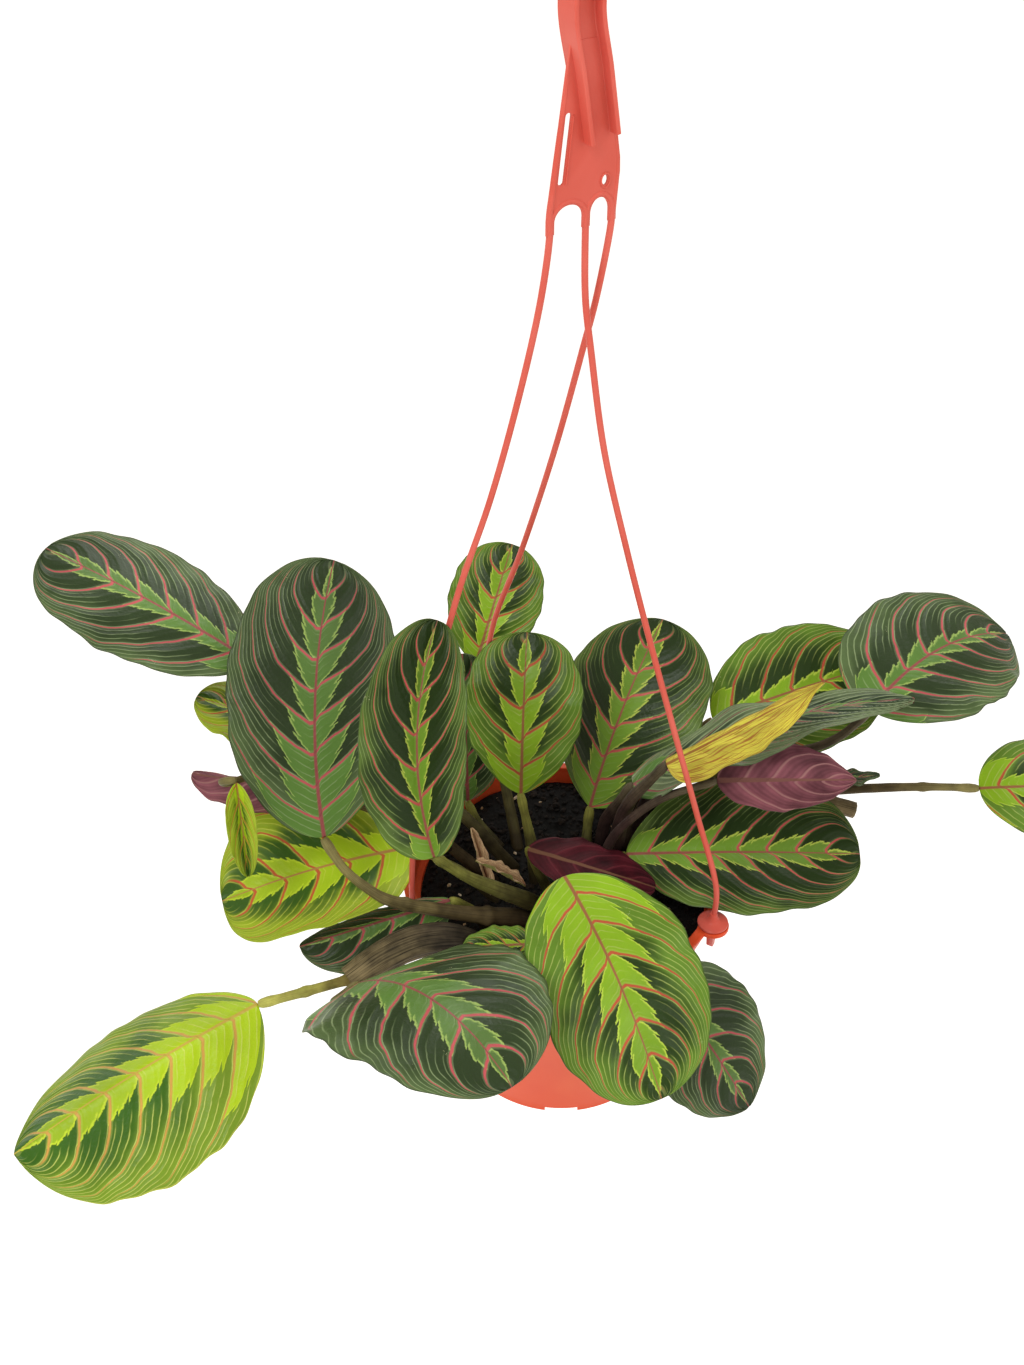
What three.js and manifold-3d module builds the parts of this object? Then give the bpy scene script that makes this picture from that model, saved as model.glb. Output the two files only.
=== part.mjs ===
// Red-veined prayer plant (Maranta leuconeura) in a moulded hanging pot.
// Millimetres, +Z up. The origin is the centre of the pot floor's underside; -Y is the front.

import * as THREE from 'three';
import { mergeVertices } from 'three/addons/utils/BufferGeometryUtils.js';
import Module from 'manifold-3d';

// ---------------------------------------------------------------- driving dimensions

const POT = {
  rimZ: 112,
  rimRadius: 76,
  wallTopRadius: 72,
  wallBaseRadius: 54,
  wall: 1.8,
  floor: 2.2,
  collarHeight: 14,
  lipThickness: 2.2,
  footHeight: 3,
  footWidth: 3.5,
  footNotches: 8,
  footNotchWidth: 16,
  drainHoles: 8,
  drainRadius: 2,
  drainCircle: 40,
};

const SOIL_Z = POT.rimZ - 13;
const GAP = 0.3;

const CLIP = {
  angles: { front_right: -28, rear: 122, left: 205 },
  circle: 76.5,
  earRadius: 7.5,
  holeRadius: 2.6,
  discRadius: 7,
  discThickness: 1.8,
  barbLength: 11,
  barbWidth: 7,
  barbThickness: 3,
};

const HANGER = {
  legRadius: 1.3,
  legSides: 8,
  legSteps: 22,
  turn: 33,
  plateZ: POT.rimZ + 326,
  plateHalf: 14.5,
  plateThickness: 1.8,
  shoulderZ: POT.rimZ + 348,
  wingTopZ: POT.rimZ + 381,
  stemSpacing: 12.6,
  flangeThickness: 1.7,
  flangeDepth: 10.5,
  hookCentreZ: POT.rimZ + 436,
  hookRadius: 20,
};

const LEAF_THICKNESS = 0.6;
const LEAF_STEPS = 11;
const LEAF_ACROSS = 6;

// ---------------------------------------------------------------- materials

const PAINT = {
  terracotta: { color: 0xe0634a, roughness: 0.42 },
  pottingMix: { color: 0x1d1815, roughness: 0.95 },
  darkBlade: { color: 0x2c4a30, roughness: 0.5 },
  freshBlade: { color: 0x5c8f33, roughness: 0.48 },
  limeBlade: { color: 0x9cc22b, roughness: 0.48 },
  maroonBlade: { color: 0x6a2a3c, roughness: 0.55 },
  yellowBlade: { color: 0xcfc43a, roughness: 0.6 },
  stalk: { color: 0x6b6a3a, roughness: 0.6 },
  sheath: { color: 0x5a4a3a, roughness: 0.7 },
  bract: { color: 0xb08a6a, roughness: 0.85 },
};

// ---------------------------------------------------------------- small helpers

const wasm = await Module();
wasm.setup();

const radians = (degrees) => degrees * Math.PI / 180;
const plant = new THREE.Group();
plant.name = 'potted_prayer_plant';

function addMesh(name, geometry, paint) {
  const material = new THREE.MeshStandardMaterial({ ...PAINT[paint], metalness: 0 });
  const mesh = new THREE.Mesh(geometry, material);
  mesh.name = name;
  plant.add(mesh);
  return mesh;
}

function toSolid(geometry) {
  const bare = geometry.clone();
  bare.deleteAttribute('normal');
  bare.deleteAttribute('uv');
  const merged = mergeVertices(bare, 1e-4);
  return new wasm.Manifold(new wasm.Mesh({
    numProp: 3,
    vertProperties: new Float32Array(merged.attributes.position.array),
    triVerts: new Uint32Array(merged.index.array),
  }));
}

function toGeometry(solid) {
  const mesh = solid.getMesh();
  const geometry = new THREE.BufferGeometry();
  geometry.setAttribute('position', new THREE.BufferAttribute(new Float32Array(mesh.vertProperties), 3));
  geometry.setIndex(new THREE.BufferAttribute(new Uint32Array(mesh.triVerts), 1));
  geometry.computeVertexNormals();
  return geometry;
}

const join = (parts) => parts.reduce((whole, part) => whole.add(part));
const polar = (radius, degrees) => [radius * Math.cos(radians(degrees)), radius * Math.sin(radians(degrees))];

function cylinder(radius, bottom, top, x = 0, y = 0, sides = 24, topRadius = radius) {
  const geometry = new THREE.CylinderGeometry(topRadius, radius, top - bottom, sides);
  geometry.rotateX(Math.PI / 2);
  geometry.translate(x, y, (top + bottom) / 2);
  return toSolid(geometry);
}

function turned(profile, segments) {
  const points = profile.map(([radius, z]) => new THREE.Vector2(radius, z));
  const geometry = new THREE.LatheGeometry(points, segments);
  geometry.rotateX(Math.PI / 2);
  return toSolid(geometry);
}

// A closed tube of changing radius; the stations are [x, y, z, radius].
function stalkGeometry(stations, sides = 6, steps = 10) {
  const path = new THREE.CatmullRomCurve3(stations.map(([x, y, z]) => new THREE.Vector3(x, y, z)));
  path.curveType = 'centripetal';
  const frames = path.computeFrenetFrames(steps, false);
  const last = stations.length - 1;
  const positions = [];
  const index = [];
  for (let i = 0; i <= steps; i += 1) {
    const u = path.getUtoTmapping(i / steps) * last;
    const k = Math.min(Math.floor(u), last - 1);
    const radius = THREE.MathUtils.lerp(stations[k][3], stations[k + 1][3], u - k);
    const centre = path.getPointAt(i / steps);
    for (let j = 0; j < sides; j += 1) {
      const angle = 2 * Math.PI * j / sides;
      const point = centre.clone()
        .addScaledVector(frames.normals[i], radius * Math.cos(angle))
        .addScaledVector(frames.binormals[i], radius * Math.sin(angle));
      positions.push(point.x, point.y, point.z);
    }
  }
  for (let i = 0; i < steps; i += 1) {
    for (let j = 0; j < sides; j += 1) {
      const a = i * sides + j;
      const b = i * sides + (j + 1) % sides;
      index.push(a, b, b + sides, a, b + sides, a + sides);
    }
  }
  for (let j = 1; j < sides - 1; j += 1) {
    const top = steps * sides;
    index.push(0, j + 1, j);
    index.push(top, top + j, top + j + 1);
  }
  const geometry = new THREE.BufferGeometry();
  geometry.setAttribute('position', new THREE.Float32BufferAttribute(positions, 3));
  geometry.setIndex(index);
  geometry.computeVertexNormals();
  return geometry;
}

const lift = (stations) => stations.map(([x, y, z, radius]) => [x, y, z + POT.rimZ, radius]);
const forked = (routes) => toGeometry(join(routes.map((route) => toSolid(stalkGeometry(lift(route))))));

// ---------------------------------------------------------------- leaf blades

// Half the blade's width at s (0 at the stalk, 1 at the tip), as a share of the full width.
function halfWidth(s, leaf) {
  if (s <= 0 || s >= 1) return 0;
  const oblong = Math.sqrt(Math.max(0, 1 - Math.abs(1 - 2 * s ** leaf.broad) ** 2.3)) / 2;
  const wedge = 1.05 * (1 - s) ** leaf.point;
  return oblong * wedge / (oblong ** 4 + wedge ** 4) ** 0.25;
}

// A blade bends down by bend degrees along its midrib and turns left by swerve. Each half leaves
// the midrib tilted up by fold and rolls up by a further curl; wave ripples the margins. Halves
// narrows the left or right half.
function leafPoint(leaf, s, t) {
  const steps = 24;
  const reach = s * steps;
  const centre = new THREE.Vector3();
  for (let i = 0; i < steps; i += 1) {
    const share = Math.min(Math.max(reach - i, 0), 1);
    const middle = (i + share / 2) / steps;
    const down = radians(leaf.bend * middle);
    const side = radians(leaf.swerve * middle);
    const length = leaf.length * share / steps;
    centre.x += length * Math.cos(down) * Math.cos(side);
    centre.y += length * Math.cos(down) * Math.sin(side);
    centre.z -= length * Math.sin(down);
  }
  const down = radians(leaf.bend * s);
  const side = radians(leaf.swerve * s);
  const across = new THREE.Vector3(-Math.sin(side), Math.cos(side), 0);
  const up = new THREE.Vector3(
    Math.sin(down) * Math.cos(side), Math.sin(down) * Math.sin(side), Math.cos(down));
  const hand = t < 0 ? 1 : 0;
  const width = Math.abs(t) * leaf.width * leaf.halves[hand] * halfWidth(s, leaf);
  const fold = radians(leaf.fold[hand]);
  const curl = radians(leaf.curl[hand]) / (leaf.width / 2);
  const out = Math.abs(curl) < 1e-6 ? width * Math.cos(fold)
    : (Math.sin(fold + curl * width) - Math.sin(fold)) / curl;
  const rise = Math.abs(curl) < 1e-6 ? width * Math.sin(fold)
    : (Math.cos(fold) - Math.cos(fold + curl * width)) / curl;
  const ripple = leaf.wave * t * t * Math.sin(2 * Math.PI * (2.2 * s + 0.35 * Math.sign(t)));
  return centre.addScaledVector(across, Math.sign(t) * out).addScaledVector(up, rise + ripple);
}

function leafGeometry(leaf) {
  const rows = [];
  for (let i = 0; i <= LEAF_STEPS; i += 1) {
    const s = (1 - Math.cos(Math.PI * i / LEAF_STEPS)) / 2;
    const atEnd = i === 0 || i === LEAF_STEPS;
    const row = [];
    for (let j = 0; j <= (atEnd ? 0 : LEAF_ACROSS); j += 1) {
      const t = atEnd ? 0 : 2 * j / LEAF_ACROSS - 1;
      const e = 1e-3;
      const along = leafPoint(leaf, Math.min(s + e, 1), t).sub(leafPoint(leaf, Math.max(s - e, 0), t));
      const acrossAt = Math.min(Math.max(s, 0.02), 0.98);
      const beside = leafPoint(leaf, acrossAt, t + e).sub(leafPoint(leaf, acrossAt, t - e));
      const normal = along.cross(beside).normalize().multiplyScalar(LEAF_THICKNESS / 2);
      row.push({ middle: leafPoint(leaf, s, t), normal });
    }
    rows.push(row);
  }
  const positions = [];
  const start = [];
  rows.forEach((row) => {
    start.push(positions.length / 3);
    [1, -1].forEach((side) => row.forEach(({ middle, normal }) => {
      positions.push(...middle.clone().addScaledVector(normal, side).toArray());
    }));
  });
  const index = [];
  const vertex = (i, j, side) => start[i] + (side < 0 ? rows[i].length : 0) + Math.min(j, rows[i].length - 1);
  const quad = (a, b, c, d) => {
    [[a, b, c], [a, c, d]].forEach((face) => {
      if (new Set(face).size === 3) index.push(...face);
    });
  };
  for (let i = 0; i < LEAF_STEPS; i += 1) {
    for (let j = 0; j < LEAF_ACROSS; j += 1) {
      quad(vertex(i, j, 1), vertex(i + 1, j, 1), vertex(i + 1, j + 1, 1), vertex(i, j + 1, 1));
      quad(vertex(i, j + 1, -1), vertex(i + 1, j + 1, -1), vertex(i + 1, j, -1), vertex(i, j, -1));
    }
    quad(vertex(i, 0, -1), vertex(i + 1, 0, -1), vertex(i + 1, 0, 1), vertex(i, 0, 1));
    const edge = LEAF_ACROSS;
    quad(vertex(i, edge, 1), vertex(i + 1, edge, 1), vertex(i + 1, edge, -1), vertex(i, edge, -1));
  }
  const geometry = new THREE.BufferGeometry();
  geometry.setAttribute('position', new THREE.Float32BufferAttribute(positions, 3));
  geometry.setIndex(index);
  const turn = new THREE.Matrix4().makeRotationZ(radians(leaf.heading))
    .multiply(new THREE.Matrix4().makeRotationY(radians(-leaf.pitch)))
    .multiply(new THREE.Matrix4().makeRotationX(radians(leaf.roll)));
  geometry.applyMatrix4(turn);
  geometry.translate(leaf.base[0], leaf.base[1], leaf.base[2] + POT.rimZ);
  geometry.computeVertexNormals();
  return geometry;
}

// base is where the stalk meets the blade, with its height above the pot's rim; heading is the
// compass turn of the midrib from +X; pitch its climb; roll lifts the left half.
const LEAF_DEFAULTS = {
  pitch: 0, roll: 0, bend: 15, swerve: 0, fold: [0, 0], curl: [0, 0], halves: [1, 1], wave: 0, broad: 1.1, point: 0.5,
};
const LEAVES = {
  leaf_far_left: { base: [-138, 17, 110], heading: 163, pitch: 30, roll: -12, length: 105, width: 72,
    bend: 16, fold: [4, -14], broad: 1.25, point: 0.3, paint: 'darkBlade' },
  leaf_tall_left: { base: [-107, -32, 51], heading: 107, pitch: 60, length: 124, width: 80,
    bend: 18, swerve: -26, fold: [-4, -4], broad: 1.2, point: 0.38, paint: 'darkBlade' },
  leaf_folded_left: { base: [-56, -69, 75], heading: 127, pitch: 62, roll: -30, length: 100, width: 56,
    bend: 12, swerve: -36, fold: [28, 44], broad: 1.1, point: 0.45, paint: 'darkBlade' },
  leaf_back_small: { base: [-42, 85, 57], heading: 58, pitch: 58, roll: 24, length: 62, width: 48,
    bend: 20, broad: 1.3, point: 0.38, paint: 'freshBlade' },
  leaf_centre: { base: [-20, 15, 34], heading: 86, pitch: 80, length: 78, width: 57,
    bend: 42, broad: 1.4, point: 0.35, paint: 'freshBlade' },
  leaf_centre_right: { base: [14, 32, 10], heading: 56, pitch: 66, roll: 4, length: 100, width: 84,
    bend: 38, fold: [-20, 2], broad: 1.35, point: 0.36, paint: 'darkBlade' },
  leaf_back_right: { base: [73, 55, 46], heading: 10, pitch: 20, roll: 28, length: 92, width: 70,
    bend: 20, paint: 'freshBlade' },
  leaf_right_high: { base: [141, 30, 72], heading: 46, pitch: 27, roll: 6, length: 103, width: 80,
    bend: 52, swerve: -26, broad: 1, point: 0.6, paint: 'darkBlade' },
  leaf_right_ridged: { base: [32, 13.5, 41], heading: 5, pitch: 40, roll: -14, length: 136, width: 58,
    bend: 36, halves: [0.75, 1], wave: 2, broad: 0.85, point: 0.8, paint: 'darkBlade' },
  leaf_yellow_rolled: { base: [43, -16.5, 79.5], heading: 8, pitch: 30, length: 77, width: 40,
    curl: [-150, -150], bend: 0, broad: 0.8, point: 1, paint: 'yellowBlade' },
  leaf_pink_underside: { base: [67, -9, 63.7], heading: -2, pitch: 2, roll: 200, length: 62, width: 40,
    bend: 0, fold: [-16, -16], point: 0.8, paint: 'maroonBlade' },
  leaf_small_right: { base: [103, 8, 46], heading: 0, pitch: 8, roll: -20, length: 42, width: 20,
    bend: 0, paint: 'darkBlade' },
  leaf_front_right: { base: [30, 5, 4], heading: -5, pitch: 8, roll: 20, length: 110, width: 80,
    bend: 10, fold: [4, 13], halves: [1, 0.94], broad: 1.25, point: 0.42, paint: 'darkBlade' },
  leaf_far_right: { base: [197, 22, 31], heading: -5, pitch: 10, roll: 8, length: 118, width: 74,
    bend: 20, broad: 1, point: 0.5, paint: 'limeBlade' },
  leaf_front: { base: [-1, -40, 35], heading: -63, pitch: -10, length: 106, width: 80,
    bend: 42, broad: 1.15, point: 0.36, paint: 'freshBlade' },
  leaf_front_left: { base: [-88.6, -92, 24], heading: -33, pitch: 46, roll: -17, length: 98, width: 103,
    bend: 80, fold: [-5, -4], halves: [1.1, 0.93], broad: 0.78, point: 0.36, paint: 'darkBlade' },
  leaf_lime_curled: { base: [-71, -9, 23], heading: 199, pitch: 6, roll: -18, length: 90, width: 90,
    bend: 30, curl: [54, 0], broad: 1.15, point: 0.4, paint: 'limeBlade' },
  leaf_left_under: { base: [-52, -38, 17.6], heading: 198, pitch: -7, roll: -56, length: 70, width: 46,
    bend: 6, fold: [0, -59], halves: [1, 0.38], paint: 'darkBlade' },
  leaf_centre_maroon: { base: [-17, -15, 27], heading: -12, pitch: -12, roll: 175, length: 61, width: 38,
    bend: 0, paint: 'maroonBlade' },
  leaf_rim_small: { base: [-13, -66, 20], heading: 178, pitch: -4, roll: -6, length: 33, width: 22,
    bend: 4, paint: 'freshBlade' },
  leaf_low_right: { base: [40, -70, 6], heading: -28, pitch: -50, roll: 26, length: 86, width: 62,
    bend: 14, broad: 1.15, point: 0.6, paint: 'darkBlade' },
  leaf_lime_low_left: { base: [-134, -85, 2], heading: 208, pitch: -10, roll: -14, length: 120, width: 100,
    bend: 20, fold: [-26, -38], broad: 1.15, point: 0.38, paint: 'limeBlade' },
  leaf_back_dark: { base: [-46, 40, 6], heading: 100, pitch: 88, length: 86, width: 40,
    bend: 6, paint: 'darkBlade' },
  leaf_lime_behind: { base: [-108, 6, 72], heading: 168, pitch: 22, length: 62, width: 44,
    bend: 10, point: 0.4, paint: 'limeBlade' },
  leaf_bud_left: { base: [-108, -5, 50], heading: 175, pitch: 8, roll: 180, length: 62, width: 30,
    curl: [120, 120], bend: 0, paint: 'maroonBlade' },
  leaf_lime_droop: { base: [-142, -32, 83], heading: 280, pitch: -84, length: 48, width: 20,
    bend: -12, fold: [48, 48], broad: 0.9, point: 0.6, paint: 'limeBlade' },
};

// ---------------------------------------------------------------- pot and soil

function potSolid() {
  const { rimZ, rimRadius, wallTopRadius, wallBaseRadius, wall, floor } = POT;
  const collarZ = rimZ - POT.collarHeight;
  const underLip = rimZ - POT.lipThickness;
  const shell = turned([
    [0, 0], [wallBaseRadius - POT.footWidth, 0], [wallBaseRadius - POT.footWidth, -POT.footHeight],
    [wallBaseRadius, -POT.footHeight], [wallBaseRadius, 0], [wallTopRadius - 2, collarZ],
    [wallTopRadius, collarZ + 1], [wallTopRadius + 1, underLip], [rimRadius - 0.4, underLip],
    [rimRadius, underLip + 0.5], [rimRadius, rimZ - 0.5], [rimRadius - 0.5, rimZ],
    [wallTopRadius - 0.8, rimZ], [wallTopRadius - 1.2, collarZ + 1.6],
    [wallTopRadius - 2 - wall, collarZ - 0.6], [wallBaseRadius - wall, floor], [0, floor],
  ], 48);
  const ears = Object.values(CLIP.angles).map((angle) => {
    const [x, y] = polar(CLIP.circle, angle);
    return cylinder(CLIP.earRadius, underLip, rimZ, x, y);
  });
  const inside = cylinder(wallTopRadius - 0.8, 20, rimZ + 5, 0, 0, 48);
  const cuts = Object.values(CLIP.angles).map((angle) => {
    const [x, y] = polar(CLIP.circle, angle);
    return cylinder(CLIP.holeRadius, underLip - 2, rimZ + 2, x, y, 20);
  });
  for (let i = 0; i < POT.drainHoles; i += 1) {
    const [x, y] = polar(POT.drainCircle, (i + 0.5) * 360 / POT.drainHoles);
    cuts.push(cylinder(POT.drainRadius, -2, floor + 2, x, y, 16));
  }
  for (let i = 0; i < POT.footNotches; i += 1) {
    const notch = new THREE.BoxGeometry(12, POT.footNotchWidth, POT.footHeight + 1);
    notch.translate(wallBaseRadius, 0, -POT.footHeight / 2 - 0.5);
    notch.rotateZ(radians(i * 360 / POT.footNotches));
    cuts.push(toSolid(notch));
  }
  return join([shell, join(ears).subtract(inside)]).subtract(join(cuts));
}

function soilGeometry() {
  const inner = (z) => POT.wallBaseRadius - POT.wall - GAP
    + (POT.wallTopRadius - 2 - POT.wallBaseRadius) * (z / (POT.rimZ - POT.collarHeight));
  const floorZ = POT.floor + GAP;
  const shoulderZ = SOIL_Z - 4;
  const points = [
    [0, floorZ], [inner(floorZ) - 0.2, floorZ], [inner(shoulderZ) - 0.2, shoulderZ],
    [inner(shoulderZ) - 8, SOIL_Z - 1], [inner(shoulderZ) - 30, SOIL_Z], [0, SOIL_Z],
  ].map(([radius, z]) => new THREE.Vector2(radius, z));
  const geometry = new THREE.LatheGeometry(points, 40);
  geometry.rotateX(Math.PI / 2);
  return geometry;
}

// ---------------------------------------------------------------- hanger

function extruded(shape, depth, curveSegments = 8) {
  const geometry = new THREE.ExtrudeGeometry(shape, { depth, bevelEnabled: false, curveSegments });
  geometry.translate(0, 0, -depth / 2);
  geometry.rotateX(Math.PI / 2);
  return toSolid(geometry);
}

function bandShape(centreLine, low, high) {
  const count = 20;
  const edge = (offset) => {
    const points = [];
    for (let i = 0; i <= count; i += 1) {
      const point = centreLine.getPointAt(i / count);
      const tangent = centreLine.getTangentAt(i / count);
      points.push(new THREE.Vector2(point.x + tangent.y * offset, point.y - tangent.x * offset));
    }
    return points;
  };
  return new THREE.Shape([...edge(low), ...edge(high).reverse()]);
}

function hookLine() {
  const { hookCentreZ, hookRadius, shoulderZ } = HANGER;
  const points = [[6.2, shoulderZ], [2.3, shoulderZ + 22], [-1.9, shoulderZ + 45], [1.5, hookCentreZ - 28],
    [12, hookCentreZ - 17]];
  for (let angle = -20; angle <= 200; angle += 20) {
    const [x, z] = polar(hookRadius, angle);
    points.push([x, hookCentreZ + z]);
  }
  return new THREE.CatmullRomCurve3(points.map(([x, z]) => new THREE.Vector3(x, z, 0)), false, 'centripetal');
}

function hangerHead() {
  const { plateZ, plateHalf, shoulderZ, wingTopZ, plateThickness } = HANGER;
  const half = HANGER.stemSpacing / 2;
  const plate = new THREE.Shape();
  const root = 1.3;
  const spread = plateHalf - root;
  plate.moveTo(-plateHalf, plateZ - 9);
  plate.lineTo(-half + 0.2, wingTopZ);
  plate.lineTo(half - 1.5, wingTopZ);
  plate.lineTo(plateHalf - 2.3, shoulderZ + 2);
  plate.lineTo(plateHalf - 0.9, shoulderZ + 1.5);
  plate.lineTo(plateHalf + 0.9, plateZ + 13);
  plate.lineTo(plateHalf + 1.1, plateZ + 8);
  plate.lineTo(plateHalf, plateZ - 3);
  plate.lineTo(plateHalf, plateZ - 9);
  plate.lineTo(spread - root, plateZ - 9);
  const middle = 2;
  [[middle, spread], [-spread, middle]].forEach(([low, high], i) => {
    const archHalf = (high - low) / 2 - root;
    plate.lineTo(high - root, plateZ - 5);
    plate.absellipse((low + high) / 2, plateZ - 5, archHalf, 5.5, 0, Math.PI, false, 0);
    plate.lineTo(low + root, plateZ - 9);
    if (i === 0) plate.lineTo(low - root, plateZ - 9);
  });
  const slot = new THREE.Path();
  slot.moveTo(-10.7, plateZ + 9);
  slot.absarc(-9.2, plateZ + 9, 1.5, Math.PI, 2 * Math.PI, false);
  slot.lineTo(-5.1, plateZ + 31);
  slot.absarc(-6.6, plateZ + 31, 1.5, 0, Math.PI, false);
  plate.holes.push(slot);
  const eye = new THREE.Path();
  eye.absellipse(9.5, plateZ + 6, 1.5, 2.1, 0, 2 * Math.PI, false, 0);
  plate.holes.push(eye);
  const line = hookLine();
  const thin = HANGER.flangeThickness;
  const solid = join([
    extruded(plate, plateThickness),
    extruded(bandShape(line, -half, half), plateThickness),
    extruded(bandShape(line, half - thin, half), HANGER.flangeDepth),
    extruded(bandShape(line, -half, thin - half), HANGER.flangeDepth),
  ]);
  return solid.rotate([0, 0, HANGER.turn]);
}

// A leg's own rod, the disc that stops it on the rim and the barb that holds it under the ear.
function hangerLeg(angle, route) {
  const [x, y] = polar(CLIP.circle, angle);
  const points = [...route, [x, y, 22], [x, y, 1]];
  const path = new THREE.CatmullRomCurve3(
    points.map((point) => new THREE.Vector3(point[0], point[1], point[2] + POT.rimZ)), false, 'centripetal');
  const section = new THREE.Shape();
  for (let i = 0; i < HANGER.legSides; i += 1) {
    const [u, v] = polar(HANGER.legRadius, i * 360 / HANGER.legSides);
    if (i === 0) section.moveTo(u, v);
    else section.lineTo(u, v);
  }
  const sweep = { steps: HANGER.legSteps, extrudePath: path, bevelEnabled: false };
  const rod = toSolid(new THREE.ExtrudeGeometry(section, sweep));
  const discLow = POT.rimZ + GAP;
  const disc = cylinder(CLIP.discRadius, discLow, discLow + CLIP.discThickness, x, y, 20);
  const collar = cylinder(CLIP.discRadius - 3.6, discLow + 0.5, discLow + 5, x, y, 14, HANGER.legRadius);
  const under = POT.rimZ - POT.lipThickness - GAP;
  const neck = cylinder(CLIP.holeRadius - GAP - 0.2, under - 2, discLow + 1, x, y, 12);
  const barb = new THREE.Shape([
    new THREE.Vector2(-CLIP.barbWidth / 2, under), new THREE.Vector2(-1.4, under - CLIP.barbLength),
    new THREE.Vector2(1.4, under - CLIP.barbLength), new THREE.Vector2(CLIP.barbWidth / 2, under),
  ]);
  const tab = extruded(barb, CLIP.barbThickness).rotate([0, 0, angle + 90]).translate([x, y, 0]);
  return join([rod, disc, collar, neck, tab]);
}

const LEG_ROUTES = {
  front_right: [[1.7, 1.1, 316], [2.4, 0, 290], [5, -2.5, 270], [11, -7, 231], [21, -13, 190],
    [33, -21, 146], [45, -28, 104], [56, -32, 65]],
  rear: [[11.1, 7.2, 316], [7, 7.5, 288], [2.5, 10, 265], [-7, 20, 216], [-20, 36, 157], [-33, 51, 105],
    [-38, 60, 60]],
  left: [[-11.1, -7.2, 316], [-14, -7, 292], [-22, -8.5, 253], [-32.5, -13, 213], [-46, -18, 171],
    [-57, -23, 125], [-65, -29, 75]],
};

// ---------------------------------------------------------------- stalks

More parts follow.
